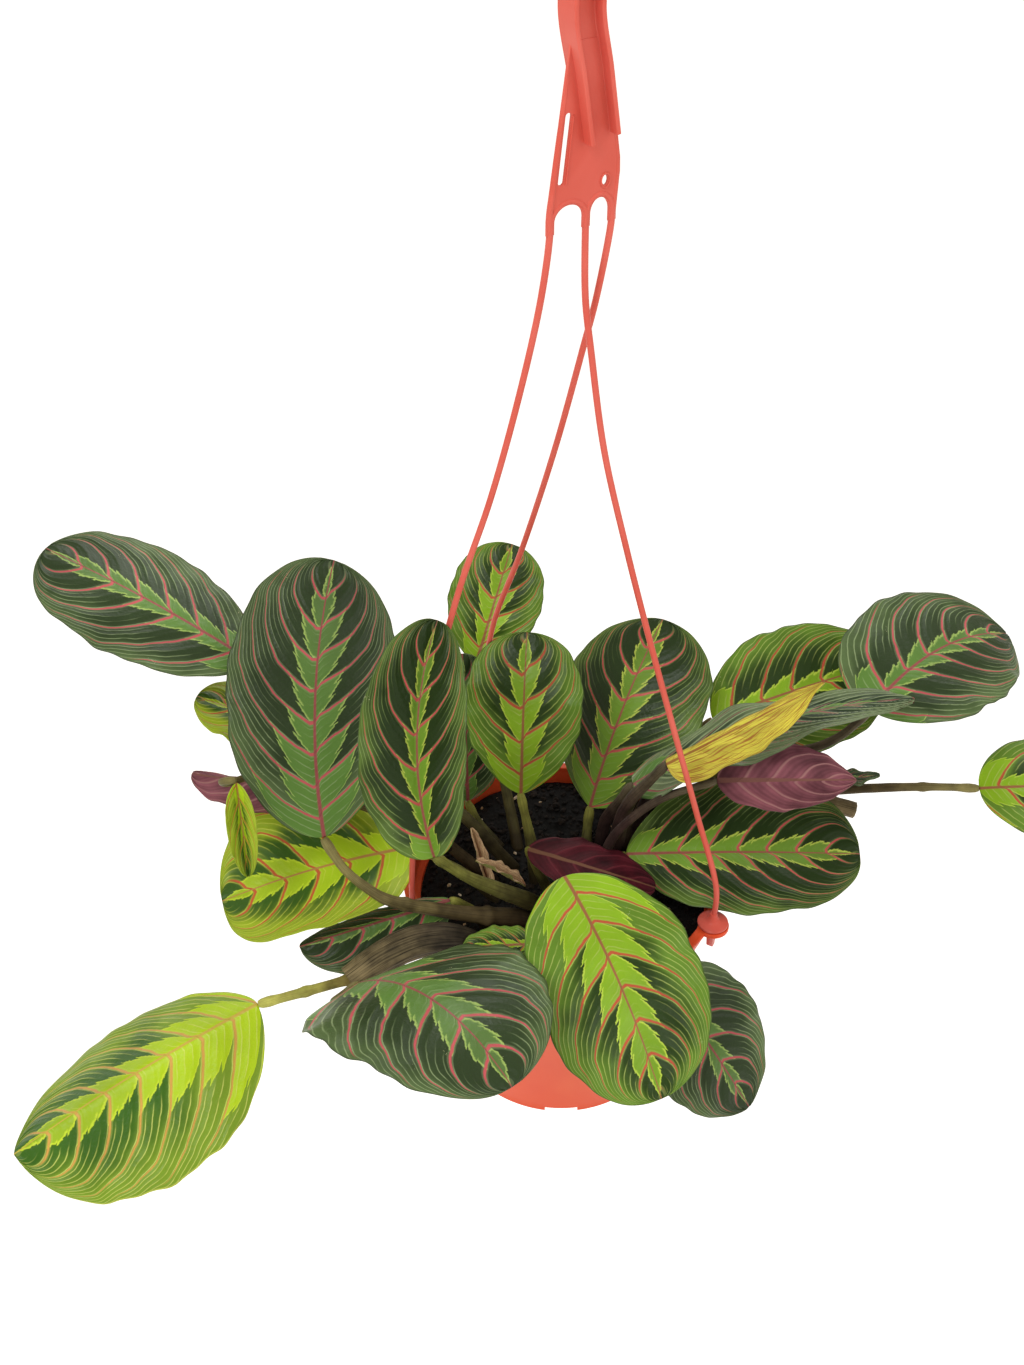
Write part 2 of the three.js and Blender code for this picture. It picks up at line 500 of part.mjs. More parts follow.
// Each route runs from the crown in the soil to the blade; the last number is the radius and
// heights are above the rim. A shoot that forks has several routes.
const STALKS = {
  stalk_far_left: [[-26, 14, -10.5, 3.4], [-48, 18, 18, 2.8], [-82, 22, 55, 2.2], [-115, 20, 89, 1.9],
    [-136.6, 17.2, 108.8, 1.7]],
  stalk_tall_left: [[-13, -29, -9.6, 4.2], [-21, -35, 3, 4.2], [-38, -41, 11, 3.8], [-56, -45.5, 19, 3.2],
    [-78, -50, 30, 2.6], [-85, -48.5, 33.5, 2.3], [-98, -41, 40.5, 2], [-106.3, -33.2, 49.8, 1.8]],
  stalk_folded_left: [[-6, -21, -11, 3.8], [-13, -27, 3, 4.2], [-31, -43, 30, 3.4], [-45, -58, 54, 2.4],
    [-55.2, -68, 73.6, 1.8]],
  stalk_back_small: [[-22, 30, -11, 3], [-29, 52, 15, 2.4], [-37, 73, 42, 1.9], [-42.3, 83.8, 55.6, 1.6]],
  stalk_centre: [[-13, 6, -10.8, 3.4], [-15, 8, 8, 2.8], [-18.6, 12.6, 26, 1.9], [-20, 14.8, 32.8, 1.6]],
  stalk_centre_right: [[12, 22, -11, 3.2], [12.5, 27, -2, 2.4], [13.6, 31.3, 8.8, 1.7]],
  stalk_back_right: [[32, 30, -11, 3.2], [44, 41, 12, 2.6], [60, 50, 34, 2], [71.8, 54.6, 45.1, 1.7]],
  stalk_right_high: [[37, 24, -10, 3.4], [38, 27, 6, 3], [43, 30, 21, 2.8], [58, 31, 33, 2.6], [92, 34, 43, 2.4],
    [115, 30, 48.5, 2.2], [129, 28.5, 58, 2], [139.9, 30, 70.8, 1.8]],
  stalk_right_ridged: [[19, 24, -10.8, 3.4], [21, 24, 8, 3], [27, 18, 27, 2.4], [31.2, 13.8, 39.6, 1.8]],
  stem_yellow: [[26, 16, -10.8, 3.6], [26.5, 11, 14, 3.8], [30, 1, 42, 3], [37, -9.5, 64, 2.4],
    [42.3, -15.8, 78.2, 1.7]],
  stalk_pink_underside: [[18, -1, -10.8, 3], [19.5, -1, 10, 2.4], [25, -2, 26, 2.2], [42, -6, 49, 1.9],
    [65.8, -9, 63.2, 1.6]],
  stalk_small_right: [[44, 46, -10.8, 2.8], [56, 45, 16, 2.2], [78, 28, 34, 1.8], [101.4, 9, 45.6, 1.4]],
  stalk_front_right: [[14, 8, -10.8, 2.8], [21, 6.5, -5, 2.2], [28.8, 5.1, 3.2, 1.7]],
  sheath_right: [[42, 33, -10.6, 4], [52, 37, 2, 4.4], [64, 39, 11, 4.6], [86, 38, 17, 4.6], [112, 33, 17, 4.4],
    [142, 29, 10.5, 3.8]],
  stalk_far_right: [[120, 25.5, 26, 2.6], [150, 24.5, 29, 2.2], [176, 23, 31, 1.9], [195.4, 22, 31, 1.7]],
  stalk_front: [[10, -30, -10.8, 3.4], [10, -40, 8, 2.6], [5, -43, 21, 2], [0, -41.4, 33, 1.6]],
  sheath_low_left: [[-29, -46, -10.6, 4.8], [-40, -53, 4, 6], [-53, -58, 14, 7], [-67, -62, 16, 7.2],
    [-81, -68, 13, 7], [-95, -76, 7.5, 6]],
  stalk_lime_low_left: [[-98.5, -76.5, 7, 2.2], [-117, -82.5, 6, 2.1], [-132.4, -84.8, 2.6, 1.8]],
  stalk_front_left: [[-97.5, -80.5, 1, 2.4], [-100, -88.5, 8, 2.2], [-89.3, -92.1, 22.6, 1.8]],
  stalk_lime_curled: [[-34, -7, -10.8, 3], [-46, -9, 5, 2.4], [-60, -9, 16, 1.9], [-69.4, -8.8, 22.4, 1.6]],
  stalk_left_under: [[-36, -27, -10.8, 3], [-43, -32, 5, 2.4], [-51, -37, 16.2, 1.7]],
  stalk_centre_maroon: [[-6, -6, -11, 2.8], [-12, -10, 8, 2.2], [-16.8, -14.2, 25.6, 1.5]],
  stalk_rim_small: [[-4, -40, -10.8, 3], [-7, -54, 4, 2.2], [-12.3, -65, 18.8, 1.6]],
  stalk_low_right: [[26, -42, -10.8, 3.2], [30, -52, 2, 2.6], [34.5, -62, 6, 2], [39.1, -69.3, 6.6, 1.6]],
  stalk_back_dark: [[-33, 30, -11, 2.8], [-41, 36, -4, 2.2], [-45.8, 39.8, 4.8, 1.6]],
  shoot_left: [
    [[-36, 5, -11, 3.4], [-62, 5, 20, 2.6], [-88, 7, 54, 2], [-106.6, 6.2, 71, 1.6]],
    [[-52, 5, 8, 2.4], [-66, -2, 22, 2.2], [-88, -5, 42, 1.8], [-106.6, -5.2, 49.8, 1.4]],
    [[-80, -3, 35, 2], [-100, -2, 58, 1.8], [-120, -6, 67, 1.7], [-139, -13, 70, 1.6],
      [-148, -21, 73, 1.6], [-149, -28, 80, 1.5], [-143.4, -31.4, 84, 1.4]],
  ],
};

// Dry papery bracts that once wrapped young shoots.
const BRACTS = {
  bract_left: { base: [-34, -14, -4], heading: 120, pitch: 62, length: 34, width: 9, fold: [50, 50] },
  bract_front: { base: [-18, -22, 10], heading: 165, pitch: 30, roll: 10, length: 26, width: 9, fold: [45, 45] },
};

// ---------------------------------------------------------------- assembly

addMesh('pot', toGeometry(potSolid()), 'terracotta');
addMesh('potting_mix', soilGeometry(), 'pottingMix');
addMesh('hanger_head', toGeometry(hangerHead()), 'terracotta');
Object.entries(LEG_ROUTES).forEach(([side, route]) => {
  addMesh(`hanger_leg_${side}`, toGeometry(hangerLeg(CLIP.angles[side], route)), 'terracotta');
});
Object.entries(LEAVES).forEach(([name, row]) => {
  const { paint, ...leaf } = { ...LEAF_DEFAULTS, ...row };
  addMesh(name, leafGeometry(leaf), paint);
});
Object.entries(BRACTS).forEach(([name, row]) => {
  addMesh(name, leafGeometry({ ...LEAF_DEFAULTS, bend: 10, ...row }), 'bract');
});
Object.entries(STALKS).forEach(([name, route]) => {
  const routes = Array.isArray(route[0][0]) ? route : [route];
  const paint = name.startsWith('stalk') ? 'stalk' : 'sheath';
  addMesh(name, routes.length > 1 ? forked(routes) : stalkGeometry(lift(routes[0])), paint);
});

export default plant;
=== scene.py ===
"""Red-veined prayer plant in a moulded hanging pot: finished surfaces and studio.

Lengths in the tables are millimetres. Heights in the leaf and stalk tables are above the pot's rim.
The front is -Y and up is +Z.
"""

import logging
import math
import random
from dataclasses import dataclass, field
from enum import Enum
from typing import Iterable, Sequence

import bmesh
import bpy
import numpy as np
from mathutils import Matrix, Vector, noise


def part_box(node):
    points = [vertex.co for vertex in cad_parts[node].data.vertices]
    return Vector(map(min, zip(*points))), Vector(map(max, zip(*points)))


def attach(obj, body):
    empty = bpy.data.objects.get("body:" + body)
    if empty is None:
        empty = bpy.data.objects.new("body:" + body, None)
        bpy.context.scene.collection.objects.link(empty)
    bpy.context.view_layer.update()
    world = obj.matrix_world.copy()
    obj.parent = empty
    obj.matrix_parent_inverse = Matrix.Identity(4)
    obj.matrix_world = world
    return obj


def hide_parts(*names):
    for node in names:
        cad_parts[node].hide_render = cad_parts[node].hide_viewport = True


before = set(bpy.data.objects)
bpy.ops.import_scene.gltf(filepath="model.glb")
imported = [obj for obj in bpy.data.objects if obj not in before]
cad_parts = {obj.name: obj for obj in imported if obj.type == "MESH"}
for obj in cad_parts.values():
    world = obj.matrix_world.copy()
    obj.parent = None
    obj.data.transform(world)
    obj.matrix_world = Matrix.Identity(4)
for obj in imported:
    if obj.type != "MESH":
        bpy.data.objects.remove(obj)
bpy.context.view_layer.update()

MM = 0.001
RIM_Z = 112.0  # height of the pot's rim
ROOT = "root"
log = logging.getLogger("plant")

Point = tuple[float, float, float]
Station = tuple[float, float, float, float]
Face = tuple[int, ...]
Shell = tuple[np.ndarray, list[Face]]

SMOOTH = {"interpolation_type": "SMOOTHSTEP"}
COLOUR = {"data_type": "RGBA"}
PLANT_IOR = 1.42  # leaf wax and cell walls
POLYPROPYLENE_IOR = 1.49
CURVE_STEPS = 24  # samples between two stations of a curve


# ---------------------------------------------------------------- colour and node helpers


def linear(colour: str) -> tuple[float, float, float, float]:
    """Turns an sRGB hex colour into linear RGBA.

    Args:
        colour: six hex digits after a hash sign.

    Returns:
        The linear red, green and blue with an alpha of 1.
    """
    parts = [int(colour[i:i + 2], 16) / 255 for i in (1, 3, 5)]
    r, g, b = [c / 12.92 if c <= 0.04045 else ((c + 0.055) / 1.055) ** 2.4 for c in parts]
    return r, g, b, 1.0


def add(tree: bpy.types.NodeTree, kind: str, links: dict | None = None, **settings: object) -> bpy.types.Node:
    """Adds a node, gives it its settings and fills its inputs.

    Args:
        tree: the material's node tree.
        kind: the node type without the ShaderNode prefix.
        links: what each input takes: a value, a socket, or a node whose first live output is meant.
        **settings: properties of the node.

    Returns:
        The new node.
    """
    node = tree.nodes.new("ShaderNode" + kind)
    for name, value in settings.items():
        setattr(node, name, value)
    for key, value in (links or {}).items():
        if isinstance(value, bpy.types.Node):
            value = next(socket for socket in value.outputs if socket.enabled)
        if isinstance(value, bpy.types.NodeSocket):
            tree.links.new(value, node.inputs[key])
        else:
            node.inputs[key].default_value = value
    return node


def fresh_material(name: str) -> tuple[bpy.types.Material, bpy.types.NodeTree]:
    """Makes an empty node material.

    Args:
        name: the material's name.

    Returns:
        The material and its tree.
    """
    material = bpy.data.materials.new(name)
    material.use_nodes = True
    material.node_tree.nodes.clear()
    return material, material.node_tree


# ---------------------------------------------------------------- finishes


class BladeMaps:
    """Coordinates and noises that a leaf's upper skin is drawn from.

    Along counts the side veins from the stalk, out runs from 0 at the midrib to 1 at the margin,
    and off_vein is the distance from the nearest side vein as a share of the gap between two.
    """

    BROAD_SCALE = 140.0  # bends every line a little, about 7 mm across
    FINE_SCALE = 650.0  # frays the edges, about 1.5 mm across
    CLOUD_SCALE = 38.0  # uneven tone, about 26 mm across
    SWAY = 0.055
    SIDE_LINES = 4

    def __init__(self, tree: bpy.types.NodeTree) -> None:
        """Adds the coordinate and noise nodes.

        Args:
            tree: the material's node tree.
        """
        self.tree = tree
        self.place = add(tree, "TexCoord").outputs["Object"]
        self.vein = add(tree, "SeparateXYZ", {0: add(tree, "UVMap", uv_map="veins")}).outputs
        self.blade = add(tree, "SeparateXYZ", {0: add(tree, "UVMap", uv_map="blade")}).outputs
        self.tone = add(tree, "SeparateXYZ", {0: add(tree, "UVMap", uv_map="tone")}).outputs
        self.broad = add(tree, "TexNoise", {"Vector": self.place, "Scale": self.BROAD_SCALE, "Detail": 2.0})
        self.fine = add(tree, "TexNoise", {"Vector": self.place, "Scale": self.FINE_SCALE, "Detail": 2.0})
        self.cloud = add(tree, "TexNoise", {"Vector": self.place, "Scale": self.CLOUD_SCALE, "Detail": 3.0})
        sway = add(tree, "MapRange", {0: self.broad, 3: -self.SWAY, 4: self.SWAY})
        self.along = add(tree, "Math", {0: self.vein[0], 1: sway}, operation="ADD")
        self.out = add(tree, "Math", {0: self.vein[1]}, operation="ABSOLUTE")
        phase = add(tree, "Math", {0: self.along}, operation="FRACT")
        beside = add(tree, "Math", {0: phase, 1: 0.5}, operation="SUBTRACT")
        self.off_vein = add(tree, "Math", {0: beside}, operation="ABSOLUTE")
        turns = add(tree, "Math", {0: self.along, 1: 2 * math.pi * self.SIDE_LINES}, operation="MULTIPLY")
        self.lines = add(tree, "Math", {0: turns}, operation="SINE")


@dataclass(frozen=True)
class LeafFinish:
    """A living leaf blade: waxy skin over green tissue, red veins and a light feathered band.

    Outside the band the skin is deep and turns pale between fade_from and fade_to, which are
    shares of the half width. Young pales it near the stalk, comb and hair draw its light side
    lines, streaks are dead tissue and specks are scars.
    """

    name: str
    deep: str
    pale: str
    stripe: str
    band: str
    band_edge: str
    vein: str
    midrib: str
    margin: str
    fade_from: float = 0.45
    fade_to: float = 1.05
    young: float = 0.0
    comb: float = 0.05
    hair: float = 0.55
    vein_weight: float = 0.95
    streaks: float = 0.0
    specks: float = 0.0
    roughness: float = 0.34

    def past_band(self, maps: BladeMaps) -> bpy.types.Node:
        """Measures how far a point lies outside the light band.

        The band's edge runs outwards along each vein and drops back behind it. Each tooth has its
        own length, and smaller teeth stand on its long side.

        Args:
            maps: the blade's coordinates.

        Returns:
            The distance past the edge, as a share of the half width.
        """
        tree = maps.tree
        tooth_at = add(tree, "Math", {0: maps.along, 1: 0.44}, operation="ADD")
        number = add(tree, "Math", {0: tooth_at}, operation="FLOOR")
        side = add(tree, "Math", {0: maps.vein[1]}, operation="SIGN")
        number = add(tree, "Math", {0: side, 1: 17.3, 2: number}, operation="MULTIPLY_ADD")
        own = add(tree, "TexWhiteNoise", {"W": number}, noise_dimensions="1D")
        own = add(tree, "MapRange", {0: own, 3: 0.7, 4: 1.45})
        tooth = add(tree, "Math", {0: tooth_at}, operation="FRACT")
        tooth = add(tree, "Math", {0: tooth, 1: 0.8}, operation="POWER")
        small = add(tree, "Math", {0: tooth_at, 1: 3.0}, operation="MULTIPLY")
        small = add(tree, "Math", {0: small}, operation="FRACT")
        lobe = add(tree, "Math", {0: tooth, 1: own}, operation="MULTIPLY")
        lobe = add(tree, "Math", {0: small, 1: 0.2, 2: lobe}, operation="MULTIPLY_ADD")
        lobe = add(tree, "Math", {0: lobe, 1: 0.22}, operation="ADD")
        fray = add(tree, "MapRange", {0: maps.fine, 1: 0.3, 2: 0.7, 3: -0.016, 4: 0.016})
        reach = add(tree, "Math", {0: maps.blade[1], 1: lobe, 2: fray}, operation="MULTIPLY_ADD")
        return add(tree, "Math", {0: maps.out, 1: reach}, operation="SUBTRACT")

    def paleness(self, maps: BladeMaps) -> bpy.types.Node:
        """Measures how pale the open skin is: more at the margin, the stalk and beside a vein.

        Args:
            maps: the blade's coordinates.

        Returns:
            The measure, to be set against fade_from and fade_to.
        """
        tree = maps.tree
        drift = add(tree, "MapRange", {0: maps.cloud, 1: 0.3, 2: 0.7, 3: -0.16, 4: 0.16})
        lift = add(tree, "Math", {0: maps.out, 1: drift}, operation="ADD")
        teeth = add(tree, "MapRange", {0: maps.lines, 1: -0.4}, **SMOOTH)
        lift = add(tree, "Math", {0: teeth, 1: self.comb, 2: lift}, operation="MULTIPLY_ADD")
        near_stalk = add(tree, "MapRange", {0: maps.blade[1], 1: 0.27, 2: 0.75, 4: self.young}, **SMOOTH)
        lift = add(tree, "Math", {0: lift, 1: near_stalk}, operation="ADD")
        near_vein = add(tree, "MapRange", {0: maps.off_vein, 1: 0.3, 2: 0.05, 4: 0.12}, **SMOOTH)
        return add(tree, "Math", {0: lift, 1: near_vein}, operation="ADD")

    def tissue(self, maps: BladeMaps) -> bpy.types.Node:
        """Paints the green of the blade: deep patches, pale side lines and the light band.

        Args:
            maps: the blade's coordinates.

        Returns:
            The colour before the veins are laid on it.
        """
        tree = maps.tree
        past, lift = self.past_band(maps), self.paleness(maps)
        deep, pale, stripe = linear(self.deep), linear(self.pale), linear(self.stripe)
        fade = add(tree, "MapRange", {0: lift, 1: self.fade_from, 2: self.fade_to}, **SMOOTH)
        skin = add(tree, "Mix", {0: fade, 6: deep, 7: pale}, **COLOUR)
        # Hair lines come and go in patches, and only show where the skin has begun to pale.
        patchy = add(tree, "MapRange", {0: maps.broad, 1: 0.22, 2: 0.5, 3: 0.15}, **SMOOTH)
        hair = add(tree, "MapRange", {0: maps.lines, 1: 0.78, 4: self.hair}, **SMOOTH)
        hair = add(tree, "Math", {0: hair, 1: patchy}, operation="MULTIPLY")
        clear = add(tree, "MapRange", {0: past, 1: 0.04, 2: 0.2}, **SMOOTH)
        outer = add(tree, "Math", {0: hair, 1: clear}, operation="MULTIPLY")
        paling = add(tree, "MapRange", {0: lift, 1: self.fade_from - 0.12, 2: self.fade_from + 0.25}, **SMOOTH)
        outer = add(tree, "Math", {0: outer, 1: paling}, operation="MULTIPLY")
        skin = add(tree, "Mix", {0: outer, 6: skin, 7: stripe}, **COLOUR)
        # The band dulls towards the tip and keeps a thin pale line along its edge.
        dull = add(tree, "MapRange", {0: maps.blade[0], 1: 0.25, 4: 0.6}, **SMOOTH)
        light = add(tree, "Mix", {0: dull, 6: linear(self.band), 7: pale}, **COLOUR)
        edge = add(tree, "MapRange", {0: past, 1: -0.055, 2: -0.012}, **SMOOTH)
        light = add(tree, "Mix", {0: edge, 6: light, 7: linear(self.band_edge)}, **COLOUR)
        within = add(tree, "MapRange", {0: past, 1: -0.1, 2: -0.35, 4: 0.7}, **SMOOTH)
        inner = add(tree, "Math", {0: hair, 1: within}, operation="MULTIPLY")
        light = add(tree, "Mix", {0: inner, 6: light, 7: stripe}, **COLOUR)
        in_band = add(tree, "MapRange", {0: past, 1: 0.012, 2: -0.012}, **SMOOTH)
        return add(tree, "Mix", {0: in_band, 6: skin, 7: light}, **COLOUR)

    def veined(self, maps: BladeMaps, skin: bpy.types.Node) -> tuple[bpy.types.Node, bpy.types.Node]:
        """Lays the side veins, the midrib and the margin over the tissue.

        Side veins are about 1.1 mm wide at the midrib and taper to the margin, and a thin pale
        line runs along each side of them.

        Args:
            maps: the blade's coordinates.
            skin: the colour under the veins.

        Returns:
            The colour and the veins' mask.
        """
        tree = maps.tree
        half = add(tree, "MapRange", {0: maps.out, 3: 0.063, 4: 0.034})
        core = add(tree, "Math", {0: half, 1: 0.55}, operation="MULTIPLY")
        on_vein = add(tree, "MapRange", {0: maps.off_vein, 1: half, 2: core}, **SMOOTH)
        inside = add(tree, "MapRange", {0: maps.out, 1: 0.985, 2: 0.88, 4: self.vein_weight}, **SMOOTH)
        on_vein = add(tree, "Math", {0: on_vein, 1: inside}, operation="MULTIPLY")
        before_tip = add(tree, "MapRange", {0: maps.blade[0], 1: 0.985, 2: 0.9}, **SMOOTH)
        on_vein = add(tree, "Math", {0: on_vein, 1: before_tip}, operation="MULTIPLY")
        wide = add(tree, "Math", {0: half, 1: 2.1}, operation="MULTIPLY")
        near = add(tree, "Math", {0: half, 1: 1.3}, operation="MULTIPLY")
        flank = add(tree, "MapRange", {0: maps.off_vein, 1: wide, 2: near, 4: 0.22}, **SMOOTH)
        inside = add(tree, "MapRange", {0: maps.out, 1: 0.95, 2: 0.8, 4: self.vein_weight}, **SMOOTH)
        flank = add(tree, "Math", {0: flank, 1: inside}, operation="MULTIPLY")
        skin = add(tree, "Mix", {0: flank, 6: skin, 7: linear(self.stripe)}, **COLOUR)
        skin = add(tree, "Mix", {0: on_vein, 6: skin, 7: linear(self.vein)}, **COLOUR)
        rib = add(tree, "MapRange", {0: maps.tone[1], 1: 1.0, 2: 0.45}, **SMOOTH)
        skin = add(tree, "Mix", {0: rib, 6: skin, 7: linear(self.midrib)}, **COLOUR)
        rim = add(tree, "MapRange", {0: maps.out, 1: 0.978, 2: 0.995, 4: 0.8}, **SMOOTH)
        return add(tree, "Mix", {0: rim, 6: skin, 7: linear(self.margin)}, **COLOUR), on_vein

    def withered(self, maps: BladeMaps, skin: bpy.types.Node) -> bpy.types.Node:
        """Lays dead tissue over the blade in lengthwise streaks about 1 mm wide.

        Args:
            maps: the blade's coordinates.
            skin: the colour under the streaks.

        Returns:
            The colour.
        """
        tree = maps.tree
        length = add(tree, "Math", {0: maps.blade[0], 1: 2.2}, operation="MULTIPLY")
        across = add(tree, "Math", {0: maps.vein[1], 1: 11.0}, operation="MULTIPLY")
        grain = add(tree, "CombineXYZ", {0: length, 1: across})
        dead = add(tree, "TexNoise", {"Vector": grain, "Scale": 2.4, "Detail": 4.0})
        dead = add(tree, "MapRange", {0: dead, 1: 0.47, 2: 0.62, 4: self.streaks}, **SMOOTH)
        return add(tree, "Mix", {0: dead, 6: skin, 7: linear(self.vein)}, **COLOUR)

    def scarred(self, maps: BladeMaps, skin: bpy.types.Node) -> bpy.types.Node:
        """Scatters a few pale scars of half a millimetre.

        Args:
            maps: the blade's coordinates.
            skin: the colour under the scars.

        Returns:
            The colour.
        """
        tree = maps.tree
        jag = add(tree, "TexNoise", {"Vector": maps.place, "Scale": 900.0}).outputs[1]
        frayed = add(tree, "Mix", {0: 0.012, 4: maps.place, 5: jag}, data_type="VECTOR")
        cells = add(tree, "TexVoronoi", {"Vector": frayed, "Scale": 95.0})
        chance = add(tree, "SeparateXYZ", {0: cells.outputs["Color"]})
        chance = add(tree, "MapRange", {0: chance, 1: 0.84, 2: 0.86}, **SMOOTH)
        speck = add(tree, "MapRange", {0: cells, 1: 0.08, 2: 0.03}, **SMOOTH)
        speck = add(tree, "Math", {0: speck, 1: chance}, operation="MULTIPLY")
        speck = add(tree, "Math", {0: speck, 1: self.specks}, operation="MULTIPLY")
        return add(tree, "Mix", {0: speck, 6: skin, 7: linear(SCAR)}, **COLOUR)

    def material(self) -> bpy.types.Material:
        """Builds the upper skin: tissue, veins, scars and a waxy shine.

        Returns:
            The material.
        """
        material, tree = fresh_material(self.name)
        maps = BladeMaps(tree)
        skin, on_vein = self.veined(maps, self.tissue(maps))
        if self.streaks:
            skin = self.withered(maps, skin)
        if self.specks:
            skin = self.scarred(maps, skin)
        value = add(tree, "MapRange", {0: maps.cloud, 1: 0.25, 2: 0.75, 3: 0.84, 4: 1.14})
        value = add(tree, "Math", {0: value, 1: maps.tone[0]}, operation="MULTIPLY")
        skin = add(tree, "HueSaturation", {"Value": value, "Color": skin})
        gloss = add(tree, "MapRange", {0: maps.broad, 1: 0.2, 2: 0.8, 3: self.roughness - 0.07,
                                       4: self.roughness + 0.1})
        relief = add(tree, "Math", {0: maps.lines, 1: 0.22, 2: maps.fine}, operation="MULTIPLY_ADD")
        relief = add(tree, "Math", {0: on_vein, 1: -1.3, 2: relief}, operation="MULTIPLY_ADD")
        bump = add(tree, "Bump", {"Height": relief, "Strength": 0.55, "Distance": 0.0003})
        shader = add(tree, "BsdfPrincipled", {
            "Base Color": skin, "Roughness": gloss, "Normal": bump, "IOR": PLANT_IOR,
            "Specular IOR Level": 0.26, "Subsurface Weight": 0.05, "Subsurface Radius": (0.0006, 0.0012, 0.0003)})
        add(tree, "OutputMaterial", {"Surface": shader})
        return material


@dataclass(frozen=True)
class LeafBackFinish:
    """The underside of a blade: matt wine-red skin with paler raised veins."""

    name: str
    skin: str
    shade: str
    vein: str
    midrib: str
    roughness: float = 0.55

    def material(self) -> bpy.types.Material:
        """Builds the lower skin.

        Returns:
            The material.
        """
        material, tree = fresh_material(self.name)
        place = add(tree, "TexCoord").outputs["Object"]
        vein_uv = add(tree, "SeparateXYZ", {0: add(tree, "UVMap", uv_map="veins")}).outputs
        tone_uv = add(tree, "SeparateXYZ", {0: add(tree, "UVMap", uv_map="tone")}).outputs
        # Tone drifts over about 17 mm, and the skin's own grain is about 1 mm.
        cloud = add(tree, "TexNoise", {"Vector": place, "Scale": 60.0, "Detail": 3.0})
        fine = add(tree, "TexNoise", {"Vector": place, "Scale": 900.0, "Detail": 2.0})
        sway = add(tree, "MapRange", {0: cloud, 3: -0.06, 4: 0.06})
        along = add(tree, "Math", {0: vein_uv[0], 1: sway}, operation="ADD")
        phase = add(tree, "Math", {0: along}, operation="FRACT")
        off_vein = add(tree, "Math", {0: phase, 1: 0.5}, operation="SUBTRACT")
        off_vein = add(tree, "Math", {0: off_vein}, operation="ABSOLUTE")
        on_vein = add(tree, "MapRange", {0: off_vein, 1: 0.09, 2: 0.02, 4: 0.75}, **SMOOTH)
        shade = add(tree, "MapRange", {0: cloud, 1: 0.35, 2: 0.65})
        skin = add(tree, "Mix", {0: shade, 6: linear(self.skin), 7: linear(self.shade)}, **COLOUR)
        # Each panel between two veins is lighter beside the raised veins and darker in its middle: painted light on
        # the ridges and painted shade in the quilted hollow. Fine fanned lines, lighter and darker, cross it and
        # paint the light and shade of small folds.
        fold_light_and_shade = add(tree, "Math", {0: along, 1: 2 * math.pi * BladeMaps.SIDE_LINES}, operation="MULTIPLY")
        fold_light_and_shade = add(tree, "Math", {0: fold_light_and_shade}, operation="SINE")
        ridge_light_and_hollow_shade = add(tree, "MapRange", {0: off_vein, 1: 0.1, 2: 0.5, 3: 1.15, 4: 0.86})
        ridge_light_and_hollow_shade = add(tree, "Math", {0: fold_light_and_shade, 1: 0.1, 2: ridge_light_and_hollow_shade}, operation="MULTIPLY_ADD")
        skin = add(tree, "HueSaturation", {"Value": ridge_light_and_hollow_shade, "Color": skin})
        skin = add(tree, "Mix", {0: on_vein, 6: skin, 7: linear(self.vein)}, **COLOUR)
        rib = add(tree, "MapRange", {0: tone_uv[1], 1: 1.5, 2: 0.8}, **SMOOTH)
        skin = add(tree, "Mix", {0: rib, 6: skin, 7: linear(self.midrib)}, **COLOUR)
        gloss = add(tree, "MapRange", {0: fine, 3: self.roughness - 0.06, 4: self.roughness + 0.08})
        relief = add(tree, "Math", {0: on_vein, 1: 1.4, 2: fine}, operation="MULTIPLY_ADD")
        bump = add(tree, "Bump", {"Height": relief, "Strength": 0.4, "Distance": 0.0003})
        shader = add(tree, "BsdfPrincipled", {"Base Color": skin, "Roughness": gloss, "Normal": bump,
                                              "IOR": PLANT_IOR, "Specular IOR Level": 0.14})
        add(tree, "OutputMaterial", {"Surface": shader})
        return material


